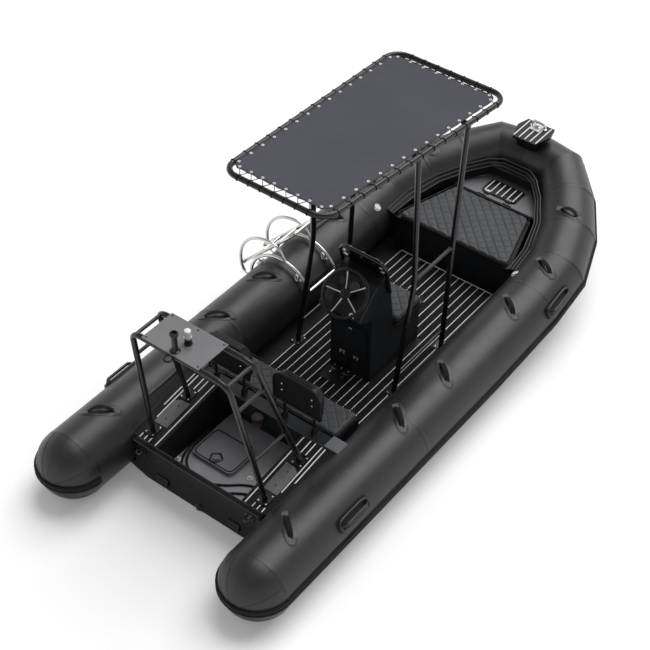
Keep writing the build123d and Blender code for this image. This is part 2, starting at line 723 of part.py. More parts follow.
ladder_fixed = rod(*[ring_point(x, hoop_radius, 156) for x in ladder_xs], ladder_tube)
for x in ladder_xs:
    arc_plane = Plane(origin=(x, tube_y, tube_z), x_dir=(0, 1, 0), z_dir=(1, 0, 0))
    arc = arc_plane * CenterArc((0, 0), hoop_radius, -8, 166)
    start = Plane(origin=arc @ 0, z_dir=arc % 0)
    ladder_fixed = ladder_fixed + sweep(start * Circle(ladder_tube / 2), path=arc)
    loop = [
        ring_point(x, hoop_radius, -6), (x, tube_y + hoop_radius + 93.5, tube_z - 6), (x, hinge_y, tube_z + 200),
        (x, tube_y + 245, tube_z + hoop_radius + 73.5), (x, tube_y + 40, tube_z + hoop_radius + 109.5),
        ring_point(x, hoop_radius, 99),
    ]
    ladder_fixed = ladder_fixed + pipe(loop, ladder_tube, loop_bend)
    for degrees in (40, 130):
        ladder_fixed = ladder_fixed + rod(
            ring_point(x, tube_radius - 2, degrees), ring_point(x, hoop_radius, degrees), 20
        )
        outward = Vector(*ring_point(x, 10, degrees)) - Vector(x, tube_y, tube_z)
        foot = Plane(origin=ring_point(x, tube_radius - 4, degrees), z_dir=outward)
        ladder_fixed = ladder_fixed + extrude(foot * Circle(34), 18)
ladder_fixed = clear_of_tubes(ladder_fixed, [tube_mid])

rail_inset = 31
pin_wide = 12
pin_bore = 13
pin_past = 20
rail_xs = (ladder_xs[0] + rail_inset, ladder_xs[1] - rail_inset)
tip_y = tube_y - 76
tip_z = tube_z + 508
for x, rail_x in zip(ladder_xs, rail_xs):
    pin_end = rail_x + math.copysign(pin_past, rail_x - x)
    ladder_fixed = ladder_fixed + rod((x, hinge_y, hinge_z), (pin_end, hinge_y, hinge_z), pin_wide)
keep("ladder_hoops", ladder_fixed)

fold_bend = 60
barrel_wide = 32
barrel_long = 24
tread_tube = 21
ladder_fold = pipe(
    [
        (rail_xs[0], hinge_y, hinge_z), (rail_xs[0], tip_y, tip_z),
        (rail_xs[1], tip_y, tip_z), (rail_xs[1], hinge_y, hinge_z),
    ],
    ladder_tube, fold_bend,
)
for rail_x in rail_xs:
    barrel_end = (rail_x + barrel_long / 2, hinge_y, hinge_z)
    ladder_fold = ladder_fold + rod((rail_x - barrel_long / 2, hinge_y, hinge_z), barrel_end, barrel_wide)
    bore_end = (rail_x + barrel_wide, hinge_y, hinge_z)
    ladder_fold = ladder_fold - rod((rail_x - barrel_wide, hinge_y, hinge_z), bore_end, pin_bore)
for share in (0.34, 0.67):
    y = hinge_y + (tip_y - hinge_y) * share
    z = hinge_z + (tip_z - hinge_z) * share
    ladder_fold = ladder_fold + rod((rail_xs[0], y, z), (rail_xs[1], y, z), tread_tube)
keep("boarding_ladder", ladder_fold)

# Tube fittings: valves, webbing grab handles and moulded lifting handles
valves = []
valve_spot = (2780, 615, 462)
valve_out = (0, -0.55, 0.83)
for side in (1, -1):
    spot = (valve_spot[0], side * valve_spot[1], valve_spot[2])
    direction = (valve_out[0], side * valve_out[1], valve_out[2])
    base = Plane(origin=spot, z_dir=direction)
    valve = extrude(base * Circle(32), 12) + extrude(base.offset(-30) * Circle(26), 30)
    valves.append(clear_of_tubes(valve, [tube_shoulder if side == 1 else mirrored(tube_shoulder)]))
keep("valves", Compound(children=valves))

# columns: x of the aft outer foot, x of the forward inner foot
strap_table = [(-75, 40), (1065, 1185), (1585, 1705), (2395, 2510), (2880, 2965), (3450, 3500)]
strap_outer = 72
strap_inner = 105


def tube_at(x):
    for a, b in zip(tube_line, tube_line[1:]):
        if a[0] <= x <= b[0]:
            share = (x - a[0]) / (b[0] - a[0])
            return [low + (high - low) * share for low, high in zip(a[1:], b[1:])]


def tube_foot(x, degrees, sunk):
    y, z, radius = tube_at(x)
    angle = math.radians(degrees)
    return Vector(x, y + (radius - sunk) * math.cos(angle), z + (radius - sunk) * math.sin(angle))


tube_line = [(dome_x, tube_y, tube_z, tube_radius)] + bow_stations
strap_wide = 34
strap_sunk = 12
strap_thick = 6
strap_rise = 58
straps = []
for x0, x1 in strap_table:
    low = tube_foot(x0, strap_outer, strap_sunk)
    high = tube_foot(x1, strap_inner, strap_sunk)
    lift = Vector(0, 0, strap_rise)
    a = low + (high - low) * 0.2 + lift
    b = low + (high - low) * 0.8 + lift
    run = (high - low).normalized()
    start = Plane(origin=low, x_dir=run.cross(Vector(0, 0, 1)), z_dir=a - low)
    path = Polyline(low, a, b, high)
    strap = sweep(start * Rectangle(strap_wide, strap_thick), path=path, transition=Transition.RIGHT)
    straps.append(clear_of_tubes(strap, tubes_port))
strap_set = straps + [mirrored(strap) for strap in straps]
keep("grab_straps", Compound(children=strap_set))

# columns: x of the aft foot, length, outward degrees
lift_table = [(245, 250, 32), (2640, 240, 30)]
lift_sunk = 12
lift_rise = 38
lift_tube = 22
lift_bend = 18
lifts = []
for x, long, degrees in lift_table:
    feet = [tube_foot(x, degrees, lift_sunk), tube_foot(x + long, degrees, lift_sunk)]
    tops = [tube_foot(x, degrees, -lift_rise), tube_foot(x + long, degrees, -lift_rise)]
    points = [feet[0], tops[0], tops[1], feet[1]]
    lifts.append(clear_of_tubes(pipe([tuple(p) for p in points], lift_tube, lift_bend), tubes_port))
lift_set = lifts + [mirrored(lift) for lift in lifts]
keep("lifting_handles", Compound(children=lift_set))

# Brackets on the transom
eye_y = 450
eye_half = 18
eye_z = 296
eye_root = 30
eye_tip = -42
eye_rod = 12
eye_bend = 16
eyes = []
for side in (1, -1):
    near = side * (eye_y - eye_half)
    far = side * (eye_y + eye_half)
    eye_points = [
        (eye_root, near, eye_z), (eye_tip, near, eye_z), (eye_tip, far, eye_z), (eye_root, far, eye_z),
    ]
    eye = pipe(eye_points, eye_rod, eye_bend) - parts["transom"]
    eyes.append(eye)
keep("tow_eyes", Compound(children=eyes))

# Hoses on the floor of the well, from the bench round the hatch to the starboard wall
hose_wide = 15
hose_z = floor_z + tray_thick + hose_wide / 2
hose_routes = {
    "hose_inner": [
        (well_x1 - 1, 322), (590, 325), (440, 321), (300, 318), (195, 262), (150, 150), (158, 30), (215, -70),
        (290, -150), (330, -240), (342, 1 - well_half),
    ],
    "hose_outer": [
        (well_x1 - 1, 340), (600, 342), (440, 340), (270, 336), (150, 268), (104, 150), (108, 20), (150, -95),
        (225, -185), (262, -270), (272, 1 - well_half),
    ],
}
for name, route in hose_routes.items():
    route = [Vector(x, y, hose_z) for x, y in route]
    radii = []
    for before, here, after in zip(route, route[1:], route[2:]):
        shorter = min((here - before).length, (after - here).length)
        half_turn = math.radians((here - before).get_angle(after - here) / 2)
        radii.append(0.45 * shorter / math.tan(half_turn))
    print(name, "tightest bend", round(min(radii)))
    path = FilletPolyline(*route, radius=radii)
    start = Plane(origin=path @ 0, z_dir=path % 0)
    keep(name, sweep(start * Circle(hose_wide / 2), path=path))

# Fuel filter on the aft face of the bench
filter_y = -18
filter_gap = 42
filter_x = bench_x0 - filter_gap
bowl_low = 307
bowl_high = 383
bowl_wide = 72
head_wide = 84
head_thick = 26
arm_half = 22
filter_head = rod((filter_x, filter_y, bowl_high), (filter_x, filter_y, bowl_high + head_thick), head_wide)
filter_bowl = rod((filter_x, filter_y, bowl_low), (filter_x, filter_y, bowl_high), bowl_wide)
filter_arm = box(filter_x, bench_x0, filter_y - arm_half, filter_y + arm_half, bowl_high - 43, bowl_high - 23)
keep("fuel_filter", filter_head + filter_bowl + filter_arm)

for name, shape in parts.items():
    solids = shape.solids()
    volume = sum(s.volume for s in solids)
    print(name, len(solids), round(volume / 1000), shape.is_valid)
    export_step(shape, f"parts/{name}.step")
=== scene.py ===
import json
import math

import bmesh
import bpy
from mathutils import Matrix, Vector

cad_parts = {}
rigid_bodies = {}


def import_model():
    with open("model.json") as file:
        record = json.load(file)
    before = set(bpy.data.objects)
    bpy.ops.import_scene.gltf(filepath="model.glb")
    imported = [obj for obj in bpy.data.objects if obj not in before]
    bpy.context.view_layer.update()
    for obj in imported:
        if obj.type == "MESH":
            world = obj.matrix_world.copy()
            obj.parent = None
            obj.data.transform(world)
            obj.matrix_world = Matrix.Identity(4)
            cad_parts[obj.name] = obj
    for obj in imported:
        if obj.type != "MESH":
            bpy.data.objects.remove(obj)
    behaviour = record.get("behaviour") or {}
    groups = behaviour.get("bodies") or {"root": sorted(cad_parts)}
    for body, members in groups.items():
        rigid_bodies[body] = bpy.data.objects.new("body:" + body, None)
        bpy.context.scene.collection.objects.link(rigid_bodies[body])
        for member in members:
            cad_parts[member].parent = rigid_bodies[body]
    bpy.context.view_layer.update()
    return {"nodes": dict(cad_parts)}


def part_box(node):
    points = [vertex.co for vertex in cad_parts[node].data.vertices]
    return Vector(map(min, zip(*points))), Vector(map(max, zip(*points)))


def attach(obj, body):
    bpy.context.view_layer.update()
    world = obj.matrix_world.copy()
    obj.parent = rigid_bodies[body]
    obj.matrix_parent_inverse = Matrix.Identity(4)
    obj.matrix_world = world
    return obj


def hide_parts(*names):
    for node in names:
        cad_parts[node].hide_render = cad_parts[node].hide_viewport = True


# Looks of a rigid inflatable boat, in metres: X forward, Y to port, Z up from the waterline

for old in list(bpy.data.objects):
    bpy.data.objects.remove(old)
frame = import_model()
nodes = frame["nodes"]

floor_z = 0.105
up = Vector((0, 0, 1))


# Materials
def node_material(name):
    material = bpy.data.materials.new(name)
    material.use_nodes = True
    tree = material.node_tree
    shader = tree.nodes["Principled BSDF"]
    place = tree.nodes.new("ShaderNodeTexCoord").outputs["Object"]
    return material, tree, shader, place


def noise_of(tree, place, scale, detail=3.0):
    noise = tree.nodes.new("ShaderNodeTexNoise")
    noise.inputs["Scale"].default_value = scale
    noise.inputs["Detail"].default_value = detail
    tree.links.new(place, noise.inputs["Vector"])
    return noise.outputs["Fac"]


def ramp_of(tree, value, stops):
    ramp = tree.nodes.new("ShaderNodeValToRGB")
    for i, (at, colour) in enumerate(stops):
        stop = ramp.color_ramp.elements[i]
        stop.position = at
        stop.color = (*colour, 1)
    tree.links.new(value, ramp.inputs["Fac"])
    return ramp.outputs["Color"]


def range_of(tree, value, low, high, start=0.3, end=0.7):
    spread = tree.nodes.new("ShaderNodeMapRange")
    for socket, level in (("From Min", start), ("From Max", end), ("To Min", low), ("To Max", high)):
        spread.inputs[socket].default_value = level
    tree.links.new(value, spread.inputs["Value"])
    return spread.outputs["Result"]


def bump_of(tree, height, strength, distance, below=None):
    bump = tree.nodes.new("ShaderNodeBump")
    bump.inputs["Strength"].default_value = strength
    bump.inputs["Distance"].default_value = distance
    tree.links.new(height, bump.inputs["Height"])
    if below:
        tree.links.new(below, bump.inputs["Normal"])
    return bump.outputs["Normal"]


def math_of(tree, kind, a, b):
    step = tree.nodes.new("ShaderNodeMath")
    step.operation = kind
    for socket, value in zip(step.inputs, (a, b)):
        if isinstance(value, float):
            socket.default_value = value
        else:
            tree.links.new(value, socket)
    return step.outputs[0]


def shade(colour, share):
    return tuple(c * share for c in colour)


def drift(tree, place, scale, colour, spread):
    """A colour that wanders a little darker and lighter in patches."""
    stops = [(0.3, shade(colour, 1 - spread)), (0.7, shade(colour, 1 + spread))]
    return ramp_of(tree, noise_of(tree, place, scale, 4.0), stops)


def surface(name, colour, rough, grain, depth, spread, patch, gloss=0.5, wave=0.0, metal=0.0):
    """A material whose colour and roughness drift in patches, with a fine grain and perhaps a slow swell."""
    material, tree, shader, place = node_material(name)
    tree.links.new(drift(tree, place, patch, colour, spread), shader.inputs["Base Color"])
    streaks = noise_of(tree, place, patch * 4.5, 5.0)
    tree.links.new(range_of(tree, streaks, *rough), shader.inputs["Roughness"])
    normal = bump_of(tree, noise_of(tree, place, grain, 2.0), 0.6, depth)
    if wave:
        normal = bump_of(tree, noise_of(tree, place, 3.0, 2.0), 0.5, wave, normal)
    tree.links.new(normal, shader.inputs["Normal"])
    shader.inputs["Specular IOR Level"].default_value = gloss
    shader.inputs["Metallic"].default_value = metal
    return material


tube_fabric = surface(
    "tube_fabric", (0.0135, 0.0140, 0.0150), (0.36, 0.44), 700, 0.0006, 0.12, 2.2, 0.50, 0.006)
tube_tape = surface("tube_tape", (0.0115, 0.0120, 0.0130), (0.34, 0.42), 600, 0.0005, 0.12, 4.0, 0.50)
trim_grey = surface("trim_grey", (0.045, 0.046, 0.050), (0.40, 0.52), 500, 0.0004, 0.12, 6.0, 0.30)
strake_rubber = surface("strake_rubber", (0.008, 0.008, 0.0085), (0.45, 0.60), 350, 0.0008, 0.20, 5.0, 0.15)
hull_paint = surface("hull_paint", (0.0085, 0.0066, 0.0060), (0.22, 0.34), 60, 0.0006, 0.20, 5.0, 0.06)
foam_black = surface("foam_black", (0.0105, 0.0115, 0.0125), (0.72, 0.86), 900, 0.0010, 0.20, 9.0, 0.10)
foam_white = surface("foam_white", (0.78, 0.78, 0.77), (0.70, 0.85), 900, 0.0006, 0.05, 9.0, 0.20)
foam_grey = surface("foam_grey", (0.135, 0.138, 0.152), (0.60, 0.78), 900, 0.0009, 0.10, 9.0, 0.15)
deck_black = surface("deck_black", (0.0095, 0.0098, 0.0105), (0.40, 0.55), 420, 0.0008, 0.20, 7.0, 0.15)
# Well tray and lid: about twice their own tone, painted light that makes up for the shade of the bench and
# arch over the well
well_grey = surface("well_grey", (0.280, 0.284, 0.308), (0.28, 0.42), 260, 0.0006, 0.10, 6.0, 0.35)
well_lid = surface("well_lid", (0.165, 0.168, 0.182), (0.28, 0.40), 300, 0.0005, 0.10, 6.0, 0.35)
well_dark = surface("well_dark", (0.012, 0.012, 0.013), (0.40, 0.55), 300, 0.0004, 0.12, 8.0, 0.20)
plate_grey = surface("plate_grey", (0.180, 0.178, 0.190), (0.36, 0.48), 380, 0.0004, 0.07, 8.0, 0.30)
box_black = surface("box_black", (0.0130, 0.0155, 0.0185), (0.30, 0.46), 500, 0.0006, 0.22, 6.0, 0.18)
board_black = surface("board_black", (0.0080, 0.0082, 0.0090), (0.28, 0.40), 600, 0.0004, 0.20, 7.0, 0.25)
pipe_black = surface("pipe_black", (0.0075, 0.0075, 0.0080), (0.16, 0.28), 420, 0.0003, 0.20, 12.0, 0.40)
hose_black = surface("hose_black", (0.0070, 0.0070, 0.0075), (0.34, 0.46), 520, 0.0004, 0.18, 16.0, 0.22)
smoked_screen = surface("smoked_screen", (0.0060, 0.0065, 0.0075), (0.06, 0.12), 30, 0.0002, 0.10, 5.0, 0.30)
moulded_black = surface(
    "moulded_black", (0.0105, 0.0105, 0.0112), (0.38, 0.52), 800, 0.0006, 0.18, 10.0, 0.25)
webbing_black = surface("webbing_black", (0.009, 0.009, 0.0095), (0.55, 0.70), 1400, 0.0012, 0.20, 20.0, 0.12)
webbing_tab = surface("webbing_tab", (0.120, 0.120, 0.124), (0.60, 0.75), 1400, 0.0010, 0.15, 20.0, 0.15)
valve_white = surface("valve_white", (0.70, 0.70, 0.68), (0.30, 0.42), 300, 0.0003, 0.04, 12.0, 0.40)
lens_white = surface("lens_white", (0.80, 0.81, 0.80), (0.10, 0.18), 120, 0.0003, 0.03, 10.0, 0.50)
bowl_amber = surface("bowl_amber", (0.095, 0.030, 0.020), (0.12, 0.20), 90, 0.0003, 0.15, 10.0, 0.40)
steel = surface("steel", (0.60, 0.585, 0.56), (0.14, 0.26), 240, 0.0002, 0.06, 14.0, metal=1.0)
dark_steel = surface("dark_steel", (0.050, 0.049, 0.047), (0.30, 0.42), 240, 0.0003, 0.12, 14.0, metal=1.0)
switch_grey = surface("switch_grey", (0.030, 0.031, 0.033), (0.34, 0.46), 600, 0.0004, 0.14, 12.0, 0.30)
dial_grey = surface("dial_grey", (0.050, 0.052, 0.056), (0.20, 0.30), 300, 0.0002, 0.10, 14.0, 0.40)


def weave_material(name, colour, rough, pitch, gloss, sheen=0.0):
    """Woven cloth: two crossed sets of threads, with patches of tone."""
    material, tree, shader, place = node_material(name)
    tree.links.new(drift(tree, place, 2.5, colour, 0.06), shader.inputs["Base Color"])
    streaks = noise_of(tree, place, 40, 3.0)
    tree.links.new(range_of(tree, streaks, *rough), shader.inputs["Roughness"])
    normal = None
    for direction in ("X", "Y"):
        threads = tree.nodes.new("ShaderNodeTexWave")
        threads.bands_direction = direction
        threads.inputs["Scale"].default_value = 1 / pitch
        threads.inputs["Distortion"].default_value = 0.6
        tree.links.new(place, threads.inputs["Vector"])
        normal = bump_of(tree, threads.outputs["Fac"], 0.35, pitch * 0.2, normal)
    tree.links.new(normal, shader.inputs["Normal"])
    shader.inputs["Specular IOR Level"].default_value = gloss
    shader.inputs["Sheen Weight"].default_value = sheen
    return material


shade_fabric = weave_material("shade_fabric", (0.078, 0.078, 0.097), (0.70, 0.85), 0.004, 0.12, 0.05)
lace_black = weave_material("lace_black", (0.007, 0.007, 0.008), (0.60, 0.75), 0.002, 0.10)

quilt_pitch = 0.063


def quilt_material(name, colour):
    """Grained leathercloth with rows of thread along the diamond seams."""
    material, tree, shader, place = node_material(name)
    apart = tree.nodes.new("ShaderNodeSeparateXYZ")
    tree.links.new(place, apart.inputs[0])

    stitch = 0.006
    thread_half = 0.0016
    across = math_of(tree, "ADD", apart.outputs["X"], apart.outputs["Y"])
    along = math_of(tree, "SUBTRACT", apart.outputs["X"], apart.outputs["Y"])
    seam_pitch = quilt_pitch * math.sqrt(2)
    threads = []
    for first, second in ((across, along), (along, across)):
        off_seam = math_of(tree, "PINGPONG", first, seam_pitch / 2)
        on_seam = math_of(tree, "LESS_THAN", off_seam, thread_half)
        gap = math_of(tree, "LESS_THAN", math_of(tree, "PINGPONG", second, stitch), stitch * 0.62)
        threads.append(math_of(tree, "MULTIPLY", on_seam, gap))
    thread = math_of(tree, "MAXIMUM", *threads)
    tone = drift(tree, place, 5, colour, 0.12)
    # Inputs 6 and 7 and output 2 of a Mix node are its colours
    mix = tree.nodes.new("ShaderNodeMix")
    mix.data_type = "RGBA"
    tree.links.new(thread, mix.inputs["Factor"])
    tree.links.new(tone, mix.inputs[6])
    mix.inputs[7].default_value = (*shade(colour, 0.3), 1)
    tree.links.new(mix.outputs[2], shader.inputs["Base Color"])
    streaks = noise_of(tree, place, 30, 4.0)
    tree.links.new(range_of(tree, streaks, 0.42, 0.56), shader.inputs["Roughness"])
    grain = tree.nodes.new("ShaderNodeTexVoronoi")
    grain.inputs["Scale"].default_value = 420
    tree.links.new(place, grain.inputs["Vector"])
    normal = bump_of(tree, grain.outputs["Distance"], 0.4, 0.0006)
    normal = bump_of(tree, thread, 0.7, 0.0008, normal)
    tree.links.new(normal, shader.inputs["Normal"])
    shader.inputs["Specular IOR Level"].default_value = 0.20
    return material


quilt_grey = quilt_material("quilt_grey", (0.066, 0.070, 0.077))
leather_black = surface("leather_black", (0.0130, 0.0135, 0.0150), (0.40, 0.52), 420, 0.0010, 0.15, 8.0, 0.25)


# Mesh helpers
sharp_angle = math.radians(38)
point_radius = 0.00005


def mesh_object(name, points, faces, material):
    mesh = bpy.data.meshes.new(name)
    mesh.from_pydata([tuple(p) for p in points], [], faces)
    mesh.validate()
    mesh.update()
    mesh.polygons.foreach_set("use_smooth", [True] * len(mesh.polygons))
    mesh.materials.append(material)
    piece = bpy.data.objects.new(name, mesh)
    bpy.context.scene.collection.objects.link(piece)
    return piece


def faced_outward(piece):
    shaped = bmesh.new()
    shaped.from_mesh(piece.data)
    bmesh.ops.recalc_face_normals(shaped, faces=shaped.faces)
    shaped.to_mesh(piece.data)
    shaped.free()


def circle(middle, side, other, radius, count):
    angles = (2 * math.pi * k / count for k in range(count))
    return [middle + (side * math.cos(a) + other * math.sin(a)) * radius for a in angles]


def rectangle(x0, y0, x1, y1):
    return [(x0, y0), (x1, y0), (x1, y1), (x0, y1)]


class Builder:
    """Collects the faces of several small shapes into one mesh."""

    def __init__(self):
        self.points = []
        self.faces = []

    def add(self, points, faces):
        start = len(self.points)
        self.points += [Vector(p) for p in points]
        self.faces += [tuple(i + start for i in face) for face in faces]

    def loft(self, rings, closed=False, caps=True):
        count = len(rings[0])
        points = [p for ring in rings for p in ring]
        faces = []
        last = len(rings) if closed else len(rings) - 1
        for r in range(last):
            here = r * count
            there = (r + 1) % len(rings) * count
            for i in range(count):
                j = (i + 1) % count
                faces.append((here + i, here + j, there + j, there + i))
        if caps and not closed:
            faces.append(tuple(reversed(range(count))))
            faces.append(tuple(range((len(rings) - 1) * count, len(rings) * count)))
        self.add(points, faces)

    def box(self, low, high, edge=0.001):
        """A block with its upper and lower edges eased."""
        (x0, y0, z0), (x1, y1, z1) = low, high
        rings = []
        for z, inset in ((z0, edge), (z0 + edge, 0), (z1 - edge, 0), (z1, edge)):
            plan = rectangle(x0 + inset, y0 + inset, x1 - inset, y1 - inset)
            rings.append([(x, y, z) for x, y in plan])
        self.loft(rings)

    def lathe(self, base, axis, profile, sides=24):
        """A turned shape: profile gives (radius, height) along axis from base."""
        axis = Vector(axis).normalized()
        side = axis.orthogonal().normalized()
        other = axis.cross(side)
        rings = []
        for radius, height in profile:
            middle = Vector(base) + axis * height
            rings.append(circle(middle, side, other, max(radius, point_radius), sides))
        self.loft(rings)

    def tube(self, points, radius, sides=10, closed=False):
        points = [Vector(p) for p in points]
        rings = []
        count = len(points)
        normal = None
        for i, point in enumerate(points):
            before = points[i - 1] if closed or i else point
            after = points[(i + 1) % count] if closed or i < count - 1 else point
            along = (after - before).normalized()
            if normal is None:
                normal = along.orthogonal().normalized()
            normal = (normal - along * normal.dot(along)).normalized()
            other = along.cross(normal)
            rings.append(circle(point, normal, other, radius, sides))
        self.loft(rings, closed=closed)

    def strip(self, points, normals, width, thick, sunk=0.002):
        """A flat band along points that lies square to the normals, a little sunk into what carries it."""
        points = [Vector(p) for p in points]
        rings = []
        for i, (point, normal) in enumerate(zip(points, normals)):
            before = points[max(i - 1, 0)]
            after = points[min(i + 1, len(points) - 1)]
            side = (after - before).cross(normal).normalized() * (width / 2)
            ease = side * 0.86
            rings.append([
                point - side - normal * sunk, point + side - normal * sunk,
                point + side + normal * thick * 0.5, point + ease + normal * thick,
                point - ease + normal * thick, point - side + normal * thick * 0.5,
            ])
        self.loft(rings)

    def bolt(self, base, axis, radius):
        washer = radius * 1.5
        self.lathe(base, axis, [
            (washer, -0.001), (washer, 0.001), (radius, 0.0012), (radius * 0.95, 0.0035),
            (radius * 0.6, 0.005), (0, 0.0054)], 14)

    def finish(self, name, material, slot, body="boat", replaced=None):
        piece = mesh_object(name, self.points, self.faces, material)
        faced_outward(piece)
        piece.data.set_sharp_from_angle(angle=sharp_angle)
        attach(piece, body)
        if replaced:
            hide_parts(replaced)
        return piece


def turned(name, base, axis, profile, sides, material, slot, replaced=None):
    """A piece of one turned shape that rides on the boat."""
    piece = Builder()
    piece.lathe(base, axis, profile, sides)
    piece.finish(name, material, slot, replaced=replaced)


def rounded(corners, radius, steps=6):
    """A closed outline with round corners, from points of any dimension."""
    corners = [Vector(c) for c in corners]
    outline = []
    for i, corner in enumerate(corners):
        before = corners[i - 1] - corner
        after = corners[(i + 1) % len(corners)] - corner
        turn = before.angle(after)
        reach = min(radius / math.tan(turn / 2), before.length * 0.49, after.length * 0.49)
        start = corner + before.normalized() * reach
        end = corner + after.normalized() * reach
        for k in range(steps + 1):
            t = k / steps
            outline.append(start * (1 - t) ** 2 + corner * 2 * t * (1 - t) + end * t * t)
    return outline


# The tube's skin, from the same stations as the solids
tube_y = 0.766
tube_z = 0.232
tube_radius = 0.240
patch_radius = 0.232
dome_x = -0.305
# columns: x, y, z, radius
tube_stations = [
    (dome_x, tube_y, tube_z, tube_radius), (1.150, tube_y, tube_z, tube_radius),
    (2.000, tube_y, tube_z, tube_radius), (2.700, 0.776, 0.284, 0.238), (3.080, 0.762, 0.335, 0.233),
    (3.420, 0.650, 0.390, 0.223), (3.720, 0.472, 0.446, 0.210), (3.958, 0.270, 0.502, 0.197),
    (4.000, 0.000, 0.505, 0.193),
]
last_station = len(tube_stations) - 1
station_points = [Vector(s[:3]) for s in tube_stations]
station_radii = [s[3] for s in tube_stations]
station_runs = [(b - a).normalized() for a, b in zip(station_points, station_points[1:])]
station_dirs = [station_runs[0]]
station_dirs += [(a + b).normalized() for a, b in zip(station_runs, station_runs[1:])]
station_dirs += [Vector((0, -1, 0))]


def ring_at(i, degrees):
    outward = up.cross(station_dirs[i]).normalized()
    lift = (up - station_dirs[i] * up.dot(station_dirs[i])).normalized()
    angle = math.radians(degrees)
    return station_points[i] + (outward * math.cos(angle) + lift * math.sin(angle)) * station_radii[i]


def skin(at, degrees):
    """A point on the port tube: at counts stations from the dome, degrees go from outboard over the top."""
    i = min(int(at), last_station - 1)
    return ring_at(i, degrees).lerp(ring_at(i + 1, degrees), at - i)


def skin_at_x(x):
    for i, (a, b) in enumerate(zip(tube_stations, tube_stations[1:])):
        if a[0] <= x <= b[0]:
            return i + (x - a[0]) / (b[0] - a[0])


def skin_normal(at, degrees):
    step = 0.01
    along = skin(min(at + step, last_station - step), degrees) - skin(max(at - step, 0), degrees)
    round_it = skin(at, degrees + 1) - skin(at, degrees - 1)
    return round_it.cross(along).normalized()


def on_skin(x, degrees, lift=0.0):
    """A point of the port tube's skin at x, lifted off it."""
    at = skin_at_x(x)
    return skin(at, degrees) + skin_normal(at, degrees) * lift


def squared(angle, power):
    """Cosine and sine on an oval, round for power 2 and squarer above."""
    c = math.cos(angle)
    s = math.sin(angle)
    return math.copysign(abs(c) ** (2 / power), c), math.copysign(abs(s) ** (2 / power), s)


def sided(points, side):
    return [Vector((p[0], p[1] * side, p[2])) for p in points]


# Finishes of the CAD pieces, also of those that a piece of the scene replaces
finishes = [
    (tube_fabric, "tube_port tube_starboard tube_shoulder_port tube_shoulder_starboard tube_nose"),
    (strake_rubber, "strake_port strake_starboard strake_nose bow_coaming"),
    (hull_paint, "hull transom"),
    (deck_black, "cockpit_sole side_decks"),
    (well_grey, "well_tray"),
    (well_lid, "well_hatch_lid"),
    (foam_grey, "bench_end_pads"),
    (box_black, "aft_bench console console_door console_seat_box bow_locker"),
    (board_black, "bench_lid_port bench_lid_starboard backrest_port backrest_starboard console_seat_lid"),
    (board_black, "bow_locker_lid bow_hatch_lid bow_step"),
    (smoked_screen, "windscreen"),
    (pipe_black, "console_rail top_frame top_legs stern_arch tow_post"),
    (plate_grey, "arch_plate bow_deck"),
    (steel, "fairlead ladder_hoops boarding_ladder"),
    (dark_steel, "tow_eyes"),
    (moulded_black, "fuel_filter lifting_handles steering_wheel"),
    (lens_white, "all_round_light"),
    (valve_white, "valves"),
    (webbing_black, "grab_straps"),
    (hose_black, "hose_inner hose_outer"),
    (quilt_grey, "bench_cushion_port bench_cushion_starboard console_cushion bow_cushion"),
    (leather_black, "backrest_cushion_port backrest_cushion_starboard"),
    (shade_fabric, "shade_panel"),
]
for material, names in finishes:
    for node in names.split():
        mesh = nodes[node].data
        mesh.materials.clear()
        mesh.materials.append(material)


# Cushions: grids blown up by cloth simulation inside the solid they stand for, then quilted
def pad_grid(name, material, corners, low_z, high_z, step, round_share):
    """A closed block of quads over four corners, its plan corners drawn in round."""
    corners = [Vector((x, y, 0)) for x, y in corners]
    wide = (corners[1] - corners[0]).length
    long = (corners[3] - corners[0]).length
    counts = (max(6, round(wide / step)), max(6, round(long / step)), max(2, round((high_z - low_z) / step)))
    index = {}
    points = []

    def point(i, j, k):
        if (i, j, k) not in index:
            index[i, j, k] = len(points)
            u = 2 * i / counts[0] - 1
            v = 2 * j / counts[1] - 1
            pull = round_share * abs(u * v) ** 12
            u, v = u * (1 - pull), v * (1 - pull)
            near = corners[0].lerp(corners[1], (u + 1) / 2)
            far = corners[3].lerp(corners[2], (u + 1) / 2)
            flat = near.lerp(far, (v + 1) / 2)
            points.append((flat.x, flat.y, low_z + (high_z - low_z) * k / counts[2]))
        return index[i, j, k]

    faces = []
    for axis in range(3):
        first, second = [n for n in range(3) if n != axis]
        for end in (0, counts[axis]):
            for m in range(counts[first]):
                for n in range(counts[second]):
                    spot = [0, 0, 0]
                    loop = []
                    for dm, dn in ((0, 0), (1, 0), (1, 1), (0, 1)):
                        spot[axis] = end
                        spot[first] = m + dm
                        spot[second] = n + dn
                        loop.append(point(*spot))
                    faces.append(loop)
    piece = mesh_object(name, points, faces, material)
    faced_outward(piece)
    return piece


def applied(piece, modifier):
    bpy.context.view_layer.objects.active = piece
    bpy.ops.object.modifier_apply(modifier=modifier.name)


def swell(piece, cap):
    """Blows the pad up under cloth simulation and holds each point within cap of where it began."""
    rest = [vertex.co.copy() for vertex in piece.data.vertices]
    cloth = piece.modifiers.new("cloth", "CLOTH")
    cloth.settings.quality = 4
    cloth.settings.use_pressure = True
    cloth.settings.uniform_pressure_force = 4
    cloth.settings.effector_weights.gravity = 0
    for step in range(1, 21):
        bpy.context.scene.frame_set(step)
    applied(piece, cloth)
    bpy.context.scene.frame_set(1)
    for vertex, start in zip(piece.data.vertices, rest):
        move = vertex.co - start
        if move.length > cap:
            vertex.co = start + move * (cap / move.length)


def finer(piece, levels):
    smooth = piece.modifiers.new("finer", "SUBSURF")
    smooth.levels = levels
    applied(piece, smooth)


